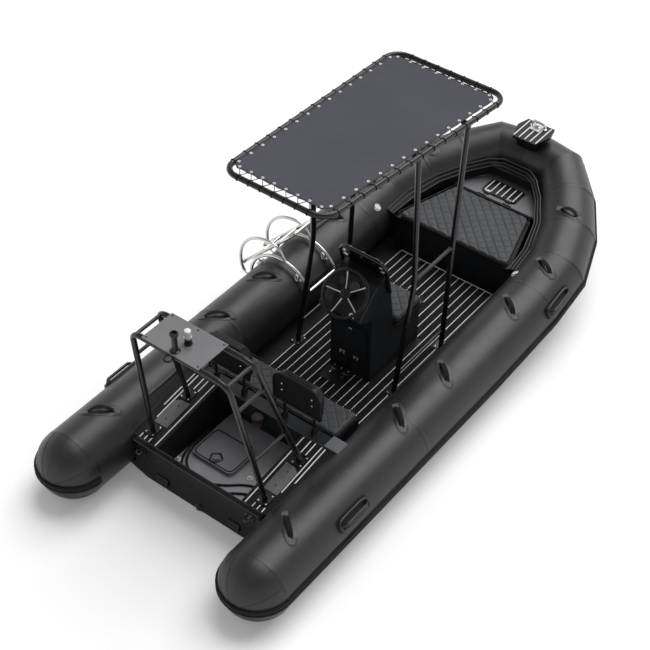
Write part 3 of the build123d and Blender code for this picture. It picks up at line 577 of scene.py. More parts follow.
def quilt(piece, groove, puff):
    """Sews diamonds into the upper face: a groove along each seam and a low crown between them."""
    seam_pitch = quilt_pitch * math.sqrt(2)
    facings = [max(0.0, vertex.normal.z - 0.35) / 0.65 for vertex in piece.data.vertices]
    for vertex, facing in zip(piece.data.vertices, facings):
        aways = []
        for value in (vertex.co.x + vertex.co.y, vertex.co.x - vertex.co.y):
            aways.append(abs((value / seam_pitch + 0.5) % 1 - 0.5) * quilt_pitch)
        sink = groove * math.exp(-((min(aways) / 0.0045) ** 2))
        crown = puff * math.sin(math.pi * aways[0] / quilt_pitch) * math.sin(math.pi * aways[1] / quilt_pitch)
        vertex.co.z += facing * (crown - sink)


def held_flat(piece, low_z, high_z):
    for vertex in piece.data.vertices:
        vertex.co.z = min(max(vertex.co.z, low_z), high_z)


pad_inset = 0.005
pad_rise = 0.003
pad_step = 0.020
welt_drop = 0.007


def dress_pad(pad, node, body):
    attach(pad, body)
    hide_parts(node)


def seat_pad(name, node, body, corners):
    low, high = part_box(node)
    middle = Vector((sum(c[0] for c in corners) / 4, sum(c[1] for c in corners) / 4))
    inner = []
    for x, y in corners:
        from_x = math.copysign(pad_inset, x - middle.x)
        from_y = math.copysign(pad_inset, y - middle.y)
        inner.append((x - from_x, y - from_y))
    pad = pad_grid(name, quilt_grey, inner, low.z, high.z - pad_inset, pad_step, 0.03)
    swell(pad, 0.007)
    finer(pad, 2)
    quilt(pad, 0.005, 0.003)
    held_flat(pad, low.z, high.z + pad_rise)
    dress_pad(pad, node, body)
    welt = Builder()
    welt.tube(rounded([(x, y, high.z - welt_drop) for x, y in corners], 0.030), 0.004, 8, closed=True)
    welt.finish(name + "_welt", leather_black, "cushion_grey", body)


for name, node, body in (
    ("bench_seat_pad_port", "bench_cushion_port", "bench_seat_port"),
    ("bench_seat_pad_starboard", "bench_cushion_starboard", "bench_seat_starboard"),
    ("console_seat_pad", "console_cushion", "console_seat"),
):
    low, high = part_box(node)
    seat_pad(name, node, body, rectangle(low.x, low.y, high.x, high.y))
low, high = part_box("bow_cushion")
bow_half_fore = 0.334
seat_pad(
    "bow_seat_pad", "bow_cushion", "bow_seat",
    [(low.x, low.y), (high.x, -bow_half_fore), (high.x, bow_half_fore), (low.x, high.y)])

# Backrest pads, rounded over their upper corners
back_round = 0.082
back_step = 0.014
back_clear = 0.004
face_clear = 0.006
for name in ("port", "starboard"):
    node = "backrest_cushion_" + name
    low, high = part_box(node)
    plan = rectangle(low.x + back_clear, low.y + pad_inset, high.x - face_clear, high.y - pad_inset)
    pad = pad_grid(
        "backrest_pad_" + name, leather_black, plan, low.z + back_clear, high.z - pad_inset, back_step, 0.0)
    middle_y = (low.y + high.y) / 2
    half = (high.y - low.y) / 2
    for vertex in pad.data.vertices:
        above = vertex.co.z - (high.z - back_round)
        if above > 0:
            reach = half - back_round + math.sqrt(max(0.0, back_round ** 2 - above ** 2))
            vertex.co.y = middle_y + (vertex.co.y - middle_y) * reach / half
    swell(pad, 0.006)
    finer(pad, 1)
    for vertex in pad.data.vertices:
        vertex.co.x = max(vertex.co.x, low.x)
    dress_pad(pad, node, "backrest_" + name)

# Sole: black foam planks with white strips in the grooves between them
plank_pitch = 0.0585
groove_wide = 0.0065
plank_count = 14
plank_edge = plank_pitch * plank_count / 2
strip_thick = 0.003
plank_thick = 0.005
sole_x0 = 1.030
sole_x1 = 2.835
console_span = (1.545, 2.130, -0.240, 0.112)
foot_spans = [(1.530, 1.630), (2.107, 2.207)]
foot_inner = 0.370


def open_spans(y0, y1):
    """The runs of the sole between y0 and y1 that no box or foot stands on."""
    cuts = []
    if y1 > console_span[2] and y0 < console_span[3]:
        cuts.append(console_span[:2])
    if max(abs(y0), abs(y1)) > foot_inner:
        cuts += foot_spans
    spans = []
    start = sole_x0
    for a, b in sorted(cuts):
        spans.append((start, a))
        start = b
    return spans + [(start, sole_x1)]


sole_lines = Builder()
sole_planks = Builder()
for i in range(plank_count + 1):
    y = -plank_edge + i * plank_pitch
    for a, b in open_spans(y, y):
        sole_lines.strip([(a, y, floor_z), (b, y, floor_z)], [up] * 2, groove_wide, strip_thick)
    if i < plank_count:
        y0 = y + groove_wide / 2
        y1 = y + plank_pitch - groove_wide / 2
        for a, b in open_spans(y0, y1):
            sole_planks.box((a, y0, floor_z - 0.001), (b, y1, floor_z + plank_thick), 0.001)
end_line_x = sole_x1 + 0.006
ends = [(end_line_x, -plank_edge, floor_z), (end_line_x, plank_edge, floor_z)]
sole_lines.strip(ends, [up] * 2, 0.010, strip_thick)
sole_lines.finish("sole_foam_lines", foam_white, "deck_foam")
sole_planks.finish("sole_foam_planks", foam_black, "deck_foam")

# Shade sheet laced inside the frame
frame_aft = Vector((0.806, 0.401, 2.086))
frame_fore = Vector((2.691, 0.463, 1.954))
frame_tube = 0.038
sheet_x0 = 0.875
sheet_x1 = 2.600
sheet_lift = 0.0175


def frame_at(x):
    share = (x - frame_aft.x) / (frame_fore.x - frame_aft.x)
    return frame_aft.lerp(frame_fore, share)


side_gap = 0.044
across_steps = 44
along_steps = 84
sag = 0.003
side_grommets = 15
end_grommets = 8
side_scallop = 0.004
end_scallop = 0.006
corner_draw = 0.050
sheet_thick = 0.002
shade_points = []
for i in range(along_steps + 1):
    s = i / along_steps
    x = sheet_x0 + (sheet_x1 - sheet_x0) * s
    place = frame_at(x)
    scallop = abs(math.sin(math.pi * s * side_grommets)) * side_scallop
    to_end = 1 - 2 * s
    round_in = max(0.0, abs(to_end) - 0.9) / 0.1
    for j in range(across_steps + 1):
        t = j / across_steps * 2 - 1
        end_dip = abs(math.sin(math.pi * (t + 1) / 2 * end_grommets)) * end_scallop
        wide = place.y - side_gap - scallop * abs(t) ** 8 - corner_draw * round_in ** 3
        dip = sag * (1 - t * t) * (0.35 + 0.65 * math.sin(math.pi * s) ** 2)
        shade_points.append((
            x + to_end * abs(to_end) ** 12 * end_dip, t * wide, place.z + sheet_lift + 2 * sheet_thick - dip))
row = across_steps + 1
shade_faces = []
for i in range(along_steps):
    for j in range(across_steps):
        a = i * row + j
        shade_faces.append((a, a + row, a + row + 1, a + 1))
canopy = mesh_object("shade_sheet", shade_points, shade_faces, shade_fabric)
thick = canopy.modifiers.new("thick", "SOLIDIFY")
thick.thickness = sheet_thick
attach(canopy, "boat")
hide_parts("shade_panel")

hem = Builder()
rings = Builder()
laces = Builder()
outline = [shade_points[i * row + across_steps] for i in range(along_steps + 1)]
outline += [shade_points[along_steps * row + across_steps - j] for j in range(1, across_steps + 1)]
outline += [shade_points[(along_steps - i) * row] for i in range(1, along_steps + 1)]
outline += shade_points[1:across_steps]
hem.tube([Vector(p) + up * 0.0005 for p in outline], 0.0035, 8, closed=True)
hem_piece = hem.finish("shade_hem", shade_fabric, "shade_fabric")
lace_radius = 0.0026
eyelet_in = 0.018
eyelet_lift = sheet_lift + 0.005


def grommet(spot):
    rings.lathe(spot, up, [
        (0.004, 0), (0.0095, 0), (0.0105, 0.0012), (0.0095, 0.0026), (0.0065, 0.0026), (0.004, 0.0012)], 16)


def lace_loop(spots, centre, along):
    """Cord from one eyelet once round the frame tube at centre and on to the next eyelet."""
    out = centre - spots[0]
    out -= along * out.dot(along)
    out.z = 0
    out.normalize()
    radius = frame_tube / 2 + lace_radius
    path = [spots[0] + up * 0.002]
    for k in range(11):
        a = math.radians(150 - 33 * k)
        path.append(centre + (out * math.cos(a) + up * math.sin(a)) * radius + along * 0.0012 * (k - 5))
    path.append(spots[1] + up * 0.002)
    laces.tube(path, lace_radius, 6)


for side in (1, -1):
    for k in range(side_grommets):
        x = sheet_x0 + (sheet_x1 - sheet_x0) * (k + 0.5) / side_grommets
        place = frame_at(x)
        spot = Vector((x, side * (place.y - side_gap - eyelet_in), place.z + eyelet_lift))
        grommet(spot)
        centre = Vector((x, side * (place.y - frame_tube / 2), place.z))
        lace_loop((spot, spot), centre, Vector((1, 0, 0)))
for x, end_x in (
    (sheet_x0 + eyelet_in, frame_aft.x + frame_tube / 2),
    (sheet_x1 - eyelet_in, frame_fore.x - frame_tube / 2),
):
    place = frame_at(x)
    half = place.y - side_gap - 0.055
    pitch = 2 * half / (end_grommets - 1)
    spots = [Vector((x, -half + pitch * k, place.z + eyelet_lift)) for k in range(end_grommets)]
    for spot in spots:
        grommet(spot)
    for first, second in zip(spots, spots[1:]):
        centre = Vector((end_x, (first.y + second.y) / 2, frame_at(end_x).z))
        lace_loop((first, second), centre, Vector((0, 1, 0)))
ring_piece = rings.finish("shade_grommets", valve_white, "shade_fabric")
lace_piece = laces.finish("shade_lacing", lace_black, "shade_fabric")

# Foam on the decks beside the well: white lines, a grey pad between the arch's feet
deck_x0 = 0.045
deck_z = 0.340
deck_rise = 0.085
deck_long = 0.605
deck_normal = Vector((-deck_rise, 0, deck_long)).normalized()


def deck_at(x, y, lift=0.0):
    """A point on the sloping deck beside the well."""
    return Vector((x, y, deck_z + deck_rise * (x - deck_x0) / deck_long + lift))


deck_lines = Builder()
deck_pads = Builder()
deck_screws = Builder()
# columns: x from, x to, y
deck_line_table = [
    (0.050, 0.640, 0.376), (0.050, 0.085, 0.432), (0.050, 0.085, 0.470), (0.050, 0.085, 0.508),
    (0.230, 0.640, 0.520), (0.535, 0.640, 0.432), (0.535, 0.640, 0.470), (0.330, 0.640, 0.548),
]
for side in (1, -1):
    for x0, x1, y in deck_line_table:
        ends = [deck_at(x0, side * y), deck_at(x1, side * y)]
        deck_lines.strip(ends, [deck_normal] * 2, 0.008, 0.0015)
    outline = [(0.195, 0.405), (0.425, 0.405), (0.425, 0.470), (0.395, 0.512), (0.195, 0.512)]
    low = [deck_at(x, side * y, -0.001) for x, y in outline]
    high = [p + deck_normal * 0.005 for p in low]
    deck_pads.loft([low, high])
    for x in (0.25, 0.37):
        deck_screws.bolt(deck_at(x, side * 0.458, 0.004), deck_normal, 0.004)
deck_lines.finish("deck_foam_lines", foam_white, "deck_foam")
deck_pads.finish("deck_foam_pads", foam_grey, "deck_foam")
deck_screws.finish("deck_pad_screws", moulded_black, "post_black")

# Bolts of the arch and shade feet
feet_bolts = Builder()
foot_thick = 0.008
arch_foot_y = 0.468
shade_foot_y = 0.419
for x in (0.137, 0.480):
    for side in (1, -1):
        for dx in (-0.034, 0.034):
            for dy in (-0.030, 0.030):
                spot = deck_at(x + dx, side * arch_foot_y + dy, foot_thick)
                feet_bolts.bolt(spot, deck_normal, 0.0042)
for x in (1.580, 2.157):
    for side in (1, -1):
        for dx in (-0.034, 0.034):
            for dy in (-0.029, 0.029):
                feet_bolts.bolt((x + dx, side * shade_foot_y + dy, floor_z + foot_thick), up, 0.0042)
feet_bolts.finish("feet_bolts", steel, "stainless")

# Seams on the tubes: tapes round the mitres, gores on the domes and the edge of the deck flap
tapes = Builder()
flap_edges = Builder()
dome_skin = tube_radius + 0.0004
tape_degrees = range(-40, 221, 6)
for side in (1, -1):
    for at in (0, 1, 3, 4, 5, 6):
        ring = [skin(at, d) for d in tape_degrees]
        normals = [skin_normal(at, d) for d in tape_degrees]
        tapes.strip(sided(ring, side), sided(normals, side), 0.032, 0.0012)
    middle = Vector((dome_x, tube_y * side, tube_z))
    for turn in range(-30, 211, 30):
        a = math.radians(turn)
        arc = []
        for k in range(13):
            b = math.radians(88 * k / 12)
            reach = dome_skin * math.cos(b)
            arc.append(middle + Vector((-dome_skin * math.sin(b), reach * math.cos(a), reach * math.sin(a))))
        tapes.tube(arc, 0.0016, 6)
    # columns: x, degrees
    for route in (
        [(-0.060, 152), (0.150, 146), (0.420, 136), (0.600, 126), (0.680, 124), (0.900, 134), (1.050, 148)],
        [(0.600, 122), (0.720, 120), (0.950, 131), (1.080, 144)],
    ):
        run = []
        for (xa, da), (xb, db) in zip(route, route[1:]):
            run += [on_skin(xa + (xb - xa) * k / 6, da + (db - da) * k / 6) for k in range(6)]
        run.append(on_skin(*route[-1]))
        flap_edges.tube(sided(run, side), 0.0024, 6)
tapes.finish("tube_seam_tapes", tube_tape, "tube_fabric")
flap_edges.finish("tube_flap_edges", trim_grey, "tube_fabric")

# Ridges of the rubbing strake
ridges = Builder()
strake_out = 0.009
for height in (-0.016, 0.016):
    run = []
    for k in range(19):
        a = math.radians(270 - 10 * k)
        reach = tube_radius + strake_out
        run.append(Vector((dome_x + reach * math.cos(a), tube_y + reach * math.sin(a), tube_z + height)))
    for i in range(1, len(tube_stations)):
        out = up.cross(station_dirs[i]).normalized()
        lift = station_dirs[i].cross(out)
        run.append(station_points[i] + out * (station_radii[i] + strake_out) + lift * height)
    far = sided(run[:-1], -1)
    far.reverse()
    ridges.tube(run + far, 0.0045, 8)
ridges.finish("strake_ridges", strake_rubber, "strake_rubber")

# Webbing grab handles on oval patches
patches = Builder()
webbing = Builder()
tabs = Builder()
# columns: x of the aft outer foot, x of the forward inner foot
handle_table = [
    (-0.075, 0.040), (1.065, 1.185), (1.585, 1.705), (2.395, 2.510), (2.880, 2.965), (3.450, 3.500),
]
outer_degrees = 72
inner_degrees = 105
strap_rise = 0.030
strap_steps = 20
tab_shift = 0.014
patch_sides = 40


def skin_patch(builder, x_mid, degrees_mid, slant, half_long, half_wide, thick, power, side):
    """A pad glued on the tube: an oval for power 2, squarer above."""
    rings = []
    for lift, share in ((-0.003, 1.0), (thick * 0.4, 1.0), (thick, 0.965), (thick, 0.5), (thick, 0.02)):
        ring = []
        for k in range(patch_sides):
            c, s = squared(2 * math.pi * k / patch_sides, power)
            along = c * half_long * share
            across = s * half_wide * share
            x = x_mid + along * math.cos(slant) - across * math.sin(slant)
            arc = along * math.sin(slant) + across * math.cos(slant)
            ring.append(on_skin(x, degrees_mid + math.degrees(arc / patch_radius), lift))
        rings.append(sided(ring, side))
    builder.loft(rings)


for x0, x1 in handle_table:
    arc = math.radians(inner_degrees - outer_degrees) * tube_radius
    slant = math.atan2(arc, x1 - x0)
    half_long = math.hypot(arc, x1 - x0) / 2
    middle_x = (x0 + x1) / 2
    middle_degrees = (outer_degrees + inner_degrees) / 2
    points = []
    for k in range(strap_steps + 1):
        t = k / strap_steps
        arch = math.sin(math.pi * min(max((t - 0.08) / 0.84, 0), 1))
        rise = strap_rise * max(0.0, arch) ** 0.7 + 0.0025
        points.append(on_skin(x0 + (x1 - x0) * t, outer_degrees + (inner_degrees - outer_degrees) * t, rise))
    span = on_skin(x1, inner_degrees) - on_skin(x0, outer_degrees)
    across = span.cross(skin_normal(skin_at_x(middle_x), middle_degrees)).normalized()
    normals = []
    for k in range(strap_steps + 1):
        along = points[min(k + 1, strap_steps)] - points[max(k - 1, 0)]
        normals.append(across.cross(along).normalized())
    for side in (1, -1):
        skin_patch(patches, middle_x, middle_degrees, slant, half_long + 0.046, 0.048, 0.0022, 2.6, side)
        webbing.strip(sided(points, side), sided(normals, side), 0.030, 0.0022, 0.0016)
        for x, degrees, inward in ((x0, outer_degrees, 1), (x1, inner_degrees, -1)):
            tab_x = x - inward * tab_shift * math.cos(slant)
            tab_degrees = degrees - math.degrees(inward * tab_shift * math.sin(slant) / tube_radius)
            skin_patch(tabs, tab_x, tab_degrees, slant, 0.022, 0.020, 0.0042, 7, side)
patches.finish("handle_patches", tube_tape, "tube_fabric")
webbing.finish("grab_handles", webbing_black, "post_black", replaced="grab_straps")
tabs.finish("handle_tabs", webbing_tab, "post_black")

# Moulded lifting handles
plates = Builder()
grips = Builder()
# columns: x of the aft end, length, degrees from outboard
lift_table = [(0.245, 0.250, 32), (2.640, 0.240, 30)]
rim_lift = 0.012
rim_half = 0.036
bar_rise = 0.024
for x0, long, degrees in lift_table:
    middle = x0 + long / 2
    rim = []
    for k in range(48):
        c, s = squared(2 * math.pi * k / 48, 4)
        rim.append(on_skin(
            middle + c * (long / 2 + 0.012), degrees + math.degrees(s * rim_half / tube_radius), rim_lift))
    bar = []
    for k in range(25):
        t = k / 24
        rise = rim_lift + bar_rise * min(1.0, math.sin(math.pi * t) * 2.6)
        bar.append(on_skin(x0 + long * t, degrees, rise))
    for side in (1, -1):
        skin_patch(plates, middle, degrees, 0.0, long / 2 + 0.028, 0.052, 0.008, 5, side)
        grips.tube(sided(rim, side), 0.0105, 10, closed=True)
        grips.tube(sided(bar, side), 0.011, 12)
plates.finish("lifting_handle_plates", moulded_black, "post_black")
grips.finish("lifting_handle_grips", pipe_black, "post_black", replaced="lifting_handles")

# Steering wheel: a padded rim, five bright spokes and a hub cap
wheel_base = Vector((1.4675, -0.085, 0.8975))
wheel_axis = Vector((-1, 0, 1)).normalized()
wheel_side = Vector((0, 1, 0))
wheel_other = wheel_axis.cross(wheel_side)
rim_radius = 0.161
hub_long = 0.034


def on_wheel(degrees, radius, height):
    a = math.radians(degrees)
    return wheel_base + wheel_axis * height + (wheel_side * math.cos(a) + wheel_other * math.sin(a)) * radius


wheel_rim = Builder()
wheel_rim.tube([on_wheel(5 * k, rim_radius, hub_long) for k in range(72)], 0.0125, 14, closed=True)
wheel_rim.lathe(wheel_base, wheel_axis, [
    (0.010, 0), (0.034, 0.0005), (0.034, 0.018), (0.030, 0.026), (0.036, 0.030), (0.036, 0.036),
    (0.030, 0.043), (0, 0.046)], 32)
wheel_rim.finish("wheel_rim", moulded_black, "wheel_black", "steering_wheel", "steering_wheel")
wheel_spokes = Builder()
# columns: radius, height
spoke_table = [(0.030, 0.030), (0.060, 0.027), (0.110, 0.026), (0.155, 0.032)]
for i in range(5):
    degrees = 72 * i + 4
    points = [on_wheel(degrees, radius, height) for radius, height in spoke_table]
    wheel_spokes.strip(points, [wheel_axis] * len(points), 0.009, 0.003)
    wheel_spokes.bolt(on_wheel(degrees, 0.150, 0.0335), wheel_axis, 0.003)
wheel_spokes.finish("wheel_spokes", steel, "stainless", "steering_wheel")

# Dash: gauges, switch panel and key switch; clips that hold the screen in its rail
dash_normal = Vector((-1, 0, 1)).normalized()
dash_foot_x = 1.410
dash_foot_z = 0.765


def on_dash(along, y):
    """A point on the dash: along goes up its slope in metres."""
    step = along / math.sqrt(2)
    return Vector((dash_foot_x + step, y, dash_foot_z + step))


def raise_on_dash(builder, outline, height):
    builder.loft([outline, [p + dash_normal * height for p in outline]])


gauges = Builder()
dials = Builder()
# columns: place up the dash, y, radius
gauge_table = [(0.200, -0.085, 0.042), (0.205, 0.020, 0.030)]
for along, y, radius in gauge_table:
    base = on_dash(along, y)
    gauges.lathe(base, dash_normal, [
        (radius, 0), (radius, 0.008), (radius * 0.96, 0.011), (radius * 0.86, 0.011),
        (radius * 0.84, 0.006)], 36)
    dials.lathe(base, dash_normal, [
        (radius * 0.85, 0.004), (radius * 0.85, 0.0062), (radius * 0.1, 0.0064), (0, 0.0064)], 36)
key_base = on_dash(0.020, -0.158)
turned("key_switch", key_base, dash_normal, [
    (0.0152, 0.002), (0.0152, 0.007), (0.006, 0.0075), (0.005, 0.011), (0, 0.011),
], 24, moulded_black, "post_black")
turned("key_ring", key_base, dash_normal, [
    (0.022, 0), (0.022, 0.006), (0.019, 0.009), (0.015, 0.009),
], 28, steel, "stainless")
gauges.finish("dash_bezels", dark_steel, "stainless")
dials.finish("dash_dials", dial_grey, "post_black")
switches = Builder()
switch_panel = [on_dash(along, y) for y, along in rectangle(0.020, 0.045, 0.095, 0.150)]
raise_on_dash(switches, rounded(switch_panel, 0.010), 0.004)
rocker = rectangle(-0.011, -0.009, 0.011, 0.009)
for along in (0.070, 0.098, 0.126):
    for y in (0.042, 0.073):
        rocker_at = [on_dash(along + up_slope, y + dy) for dy, up_slope in rocker]
        raise_on_dash(switches, rounded(rocker_at, 0.003), 0.009)
switches.finish("dash_switches", switch_grey, "post_black")
dash_edge = Builder()
for y in (-0.232, 0.104):
    dash_edge.tube([on_dash(0.006, y), on_dash(0.262, y)], 0.0035, 8)
dash_edge.finish("dash_edges", trim_grey, "box_black")

clips = Builder()
screen_foot = Vector((1.712, 0, 0.955))
screen_top = Vector((1.650, 0, 1.098))
for y in (-0.170, -0.064, 0.042):
    clips.box((1.640, y - 0.012, 1.085), (1.668, y + 0.012, 1.122), 0.003)
for z in (1.005, 1.055):
    x = screen_foot.lerp(screen_top, (z - screen_foot.z) / (screen_top.z - screen_foot.z)).x
    for y in (-0.222, 0.094):
        clips.box((x - 0.012, y - 0.024, z - 0.010), (x + 0.014, y + 0.024, z + 0.010), 0.003)
clips.finish("screen_clips", steel, "stainless")

# Console door: hinge leaves and the ring round its knob
astern = (-1, 0, 0)
door_metal = Builder()
for y in (-0.122, -0.006):
    door_metal.box((1.5335, y - 0.023, 0.256), (1.5382, y + 0.023, 0.292), 0.001)
    for dy in (-0.014, 0.014):
        door_metal.bolt((1.5335, y + dy, 0.276), astern, 0.003)
door_metal.lathe((1.538, -0.064, 0.515), astern, [
    (0.022, -0.001), (0.022, 0.003), (0.018, 0.005), (0.0142, 0.005)], 28)
door_metal.finish("console_door_hinges", steel, "stainless", "console_door")

# Bench: a grey bead along the beam's top aft edge as a painted highlight, and a floor hatch with its hinges
# ahead of it
# The grey bead is a painted highlight on the beam's top aft edge, not a trim
bench_highlight_bead = Builder()
bench_highlight_bead.tube([(0.651, -0.525, 0.4245), (0.651, 0.525, 0.4245)], 0.0026, 8)
bench_highlight_bead.finish("bench_highlight_bead", trim_grey, "box_black")
floor_hatch = Builder()
floor_hatch.box((1.385, -0.105, floor_z - 0.001), (1.530, 0.085, floor_z + 0.0075), 0.002)
floor_hatch.finish("floor_hatch", deck_black, "deck_foam")
floor_hinges = Builder()
hinge_foot = floor_z + 0.0070
for y in (-0.060, 0.040):
    floor_hinges.box((1.455, y - 0.006, hinge_foot), (1.500, y + 0.006, hinge_foot + 0.0025), 0.0008)
    floor_hinges.box((1.498, y - 0.022, hinge_foot), (1.510, y + 0.022, hinge_foot + 0.0030), 0.0008)
floor_hinges.finish("floor_hatch_hinges", steel, "stainless")

# Backrests: raised rim and bolts on their backs
back_y = 0.290
back_face = 0.672
back_half = 0.190
back_top = 0.850
back_foot = 0.606
rim_corner = 0.090
rim_draw = 0.97
for name, side in (("port", 1), ("starboard", -1)):
    body = "backrest_" + name
    middle = back_y * side
    rim = Builder()
    bolts = Builder()
    outline = []
    for y, start in ((back_half - rim_corner, 0), (rim_corner - back_half, 90)):
        for k in range(10):
            a = math.radians(start + 10 * k)
            reach = rim_corner * rim_draw
            outline.append((
                back_face, middle + y + reach * math.cos(a), back_top - rim_corner + reach * math.sin(a)))
    outline += [(back_face, middle + y, back_foot) for y in (0.003 - back_half, back_half - 0.003)]
    rim.tube(outline, 0.0065, 8, closed=True)
    rim.finish("backrest_rim_" + name, moulded_black, "board_black", body)
    for y in (-0.120, 0.120):
        for z in (0.700, 0.755):
            bolts.bolt((back_face + 0.002, middle + y, z), astern, 0.0055)
    bolts.finish("backrest_bolts_" + name, steel, "stainless", body)

# Equipment on the arch plate
plate_top = 1.448
lamp_place = (0.066, 0.024, plate_top)
turned("light_base", lamp_place, up, [
    (0.026, 0), (0.026, 0.006), (0.021, 0.010), (0.021, 0.034), (0.024, 0.038), (0.024, 0.046), (0, 0.046),
], 32, moulded_black, "post_black")
turned("light_collar", lamp_place, up, [
    (0.0245, 0.046), (0.0250, 0.049), (0.0250, 0.057), (0.0225, 0.060), (0, 0.060),
], 32, steel, "stainless")
turned("light_lens", lamp_place, up, [
    (0.0205, 0.060), (0.0215, 0.064), (0.0205, 0.068), (0.0215, 0.072), (0.0205, 0.076), (0.0215, 0.080),
    (0.0205, 0.084), (0.0220, 0.088), (0.0220, 0.098), (0.0190, 0.106), (0.010, 0.1095), (0, 0.110),
], 32, lens_white, "light_white", "all_round_light")
turned("tow_post_turned", (-0.024, 0.045, plate_top), up, [
    (0.032, 0), (0.032, 0.004), (0.020, 0.008), (0.018, 0.014), (0.018, 0.112), (0.021, 0.120),
    (0.027, 0.124), (0.027, 0.136), (0.024, 0.140), (0.017, 0.140), (0.015, 0.128), (0, 0.127),
], 32, pipe_black, "post_black", "tow_post")
plate_bolts = Builder()
for x in (-0.043, 0.186):
    for y in (-0.145, 0.055, 0.255):
        plate_bolts.bolt((x, y, plate_top), up, 0.0045)
plate_bolts.finish("arch_plate_bolts", dark_steel, "stainless")

# Valves
caps = Builder()
for side in (1, -1):
    base = Vector((2.780, 0.615 * side, 0.462))
    axis = Vector((0, -0.55 * side, 0.83)).normalized()
    caps.lathe(base, axis, [
        (0.034, -0.012), (0.034, 0.004), (0.031, 0.006), (0.024, 0.006), (0.0235, 0.012), (0.020, 0.0135),
        (0.019, 0.011), (0.006, 0.011), (0.005, 0.0135), (0, 0.0135)], 30)
caps.finish("valve_caps", valve_white, "valve_white", replaced="valves")

# Fuel filter: ribbed head, bracket and clear bowl
filter_head = Builder()
filter_x = 0.608
filter_y = -0.018
filter_head.lathe((filter_x, filter_y, 0), up, [
    (0.030, 0.372), (0.040, 0.376), (0.042, 0.383), (0.042, 0.386), (0.039, 0.388), (0.042, 0.390),
    (0.042, 0.394), (0.039, 0.396), (0.042, 0.398), (0.042, 0.402), (0.036, 0.408),
    (0.012, 0.409), (0, 0.409)], 36)
filter_head.box(
    (filter_x + 0.002, filter_y - 0.020, 0.342), (filter_x + 0.042, filter_y + 0.020, 0.358), 0.003)
filter_head.lathe((filter_x, filter_y, 0.350), (0, 1, 0), [
    (0.009, 0.030), (0.009, 0.052), (0.0075, 0.053), (0, 0.053)], 18)
filter_head.finish("filter_head", moulded_black, "filter_black", replaced="fuel_filter")
turned("filter_bowl", (filter_x, filter_y, 0), up, [
    (0, 0.308), (0.007, 0.308), (0.008, 0.318), (0.024, 0.322), (0.034, 0.331), (0.036, 0.345),
    (0.036, 0.374), (0, 0.376),
], 32, bowl_amber, "filter_black")

# Well hatch: a D-shaped pull and a bead round the lid
hatch_pull = Builder()
hatch_trim = Builder()
lid_top = 0.145
pull_corners = [(0.297, 0.102), (0.352, 0.072), (0.385, 0.120), (0.352, 0.168), (0.297, 0.138)]
pull_run = rounded([(x, y, lid_top + 0.003) for x, y in pull_corners], 0.018)
hatch_pull.tube(pull_run, 0.0060, 8, closed=True)
hatch_pull.finish("hatch_pull", pipe_black, "post_black", "well_hatch")
lid_edge = rounded([(x, y, lid_top) for x, y in rectangle(0.296, -0.041, 0.541, 0.281)], 0.045)
hatch_trim.tube(lid_edge, 0.0045, 8, closed=True)
hatch_trim.finish("hatch_bead", well_dark, "well_grey", "well_hatch")

# Hoses on the well floor, along the routes of the solids
hose_wide = 0.015
well_floor = floor_z + 0.008
hose_z = well_floor + hose_wide / 2
hose_table = {
    "hose_inner": [
        (0.737, 0.322), (0.590, 0.325), (0.440, 0.321), (0.300, 0.318), (0.195, 0.262), (0.150, 0.150),
        (0.158, 0.030), (0.215, -0.070), (0.290, -0.150), (0.330, -0.240), (0.342, -0.349),
    ],
    "hose_outer": [
        (0.737, 0.340), (0.600, 0.342), (0.440, 0.340), (0.270, 0.336), (0.150, 0.268), (0.104, 0.150),
        (0.108, 0.020), (0.150, -0.095), (0.225, -0.185), (0.262, -0.270), (0.272, -0.349),
    ],
}
for node, route in hose_table.items():
    hose_curve = bpy.data.curves.new(node + "_line", "CURVE")
    hose_curve.dimensions = "3D"
    hose_curve.bevel_depth = hose_wide / 2
    hose_curve.bevel_resolution = 4
    hose_curve.resolution_u = 12
    spline = hose_curve.splines.new("NURBS")
    spline.points.add(len(route) - 1)
    for point, (x, y) in zip(spline.points, route):
        point.co = (x, y, hose_z, 1)
    spline.order_u = 3
    spline.use_endpoint_u = True
    hose_curve.materials.append(hose_black)
    hose = bpy.data.objects.new(node + "_run", hose_curve)
    bpy.context.scene.collection.objects.link(hose)
    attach(hose, "boat")
    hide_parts(node)

# White skin fittings on the well floor
fittings = Builder()
for x, y in ((0.197, 0.325), (0.128, 0.318), (0.36, -0.150)):
    fittings.lathe((x, y, well_floor), up, [
        (0.020, 0), (0.020, 0.006), (0.012, 0.008), (0.011, 0.020), (0.008, 0.023), (0, 0.023)], 20)
fittings.finish("well_fittings", valve_white, "valve_white")

# Transom: capping, drain flaps, drain plug and eye plates
capping = Builder()
for x in (0.004, 0.041):
    capping.tube([(x, -0.520, deck_z), (x, 0.520, deck_z)], 0.0035, 8)
capping.finish("transom_capping", trim_grey, "bow_grey")
flaps = Builder()
rake = 0.045 / 0.520


def transom_x(z):
    return (deck_z - z) * rake


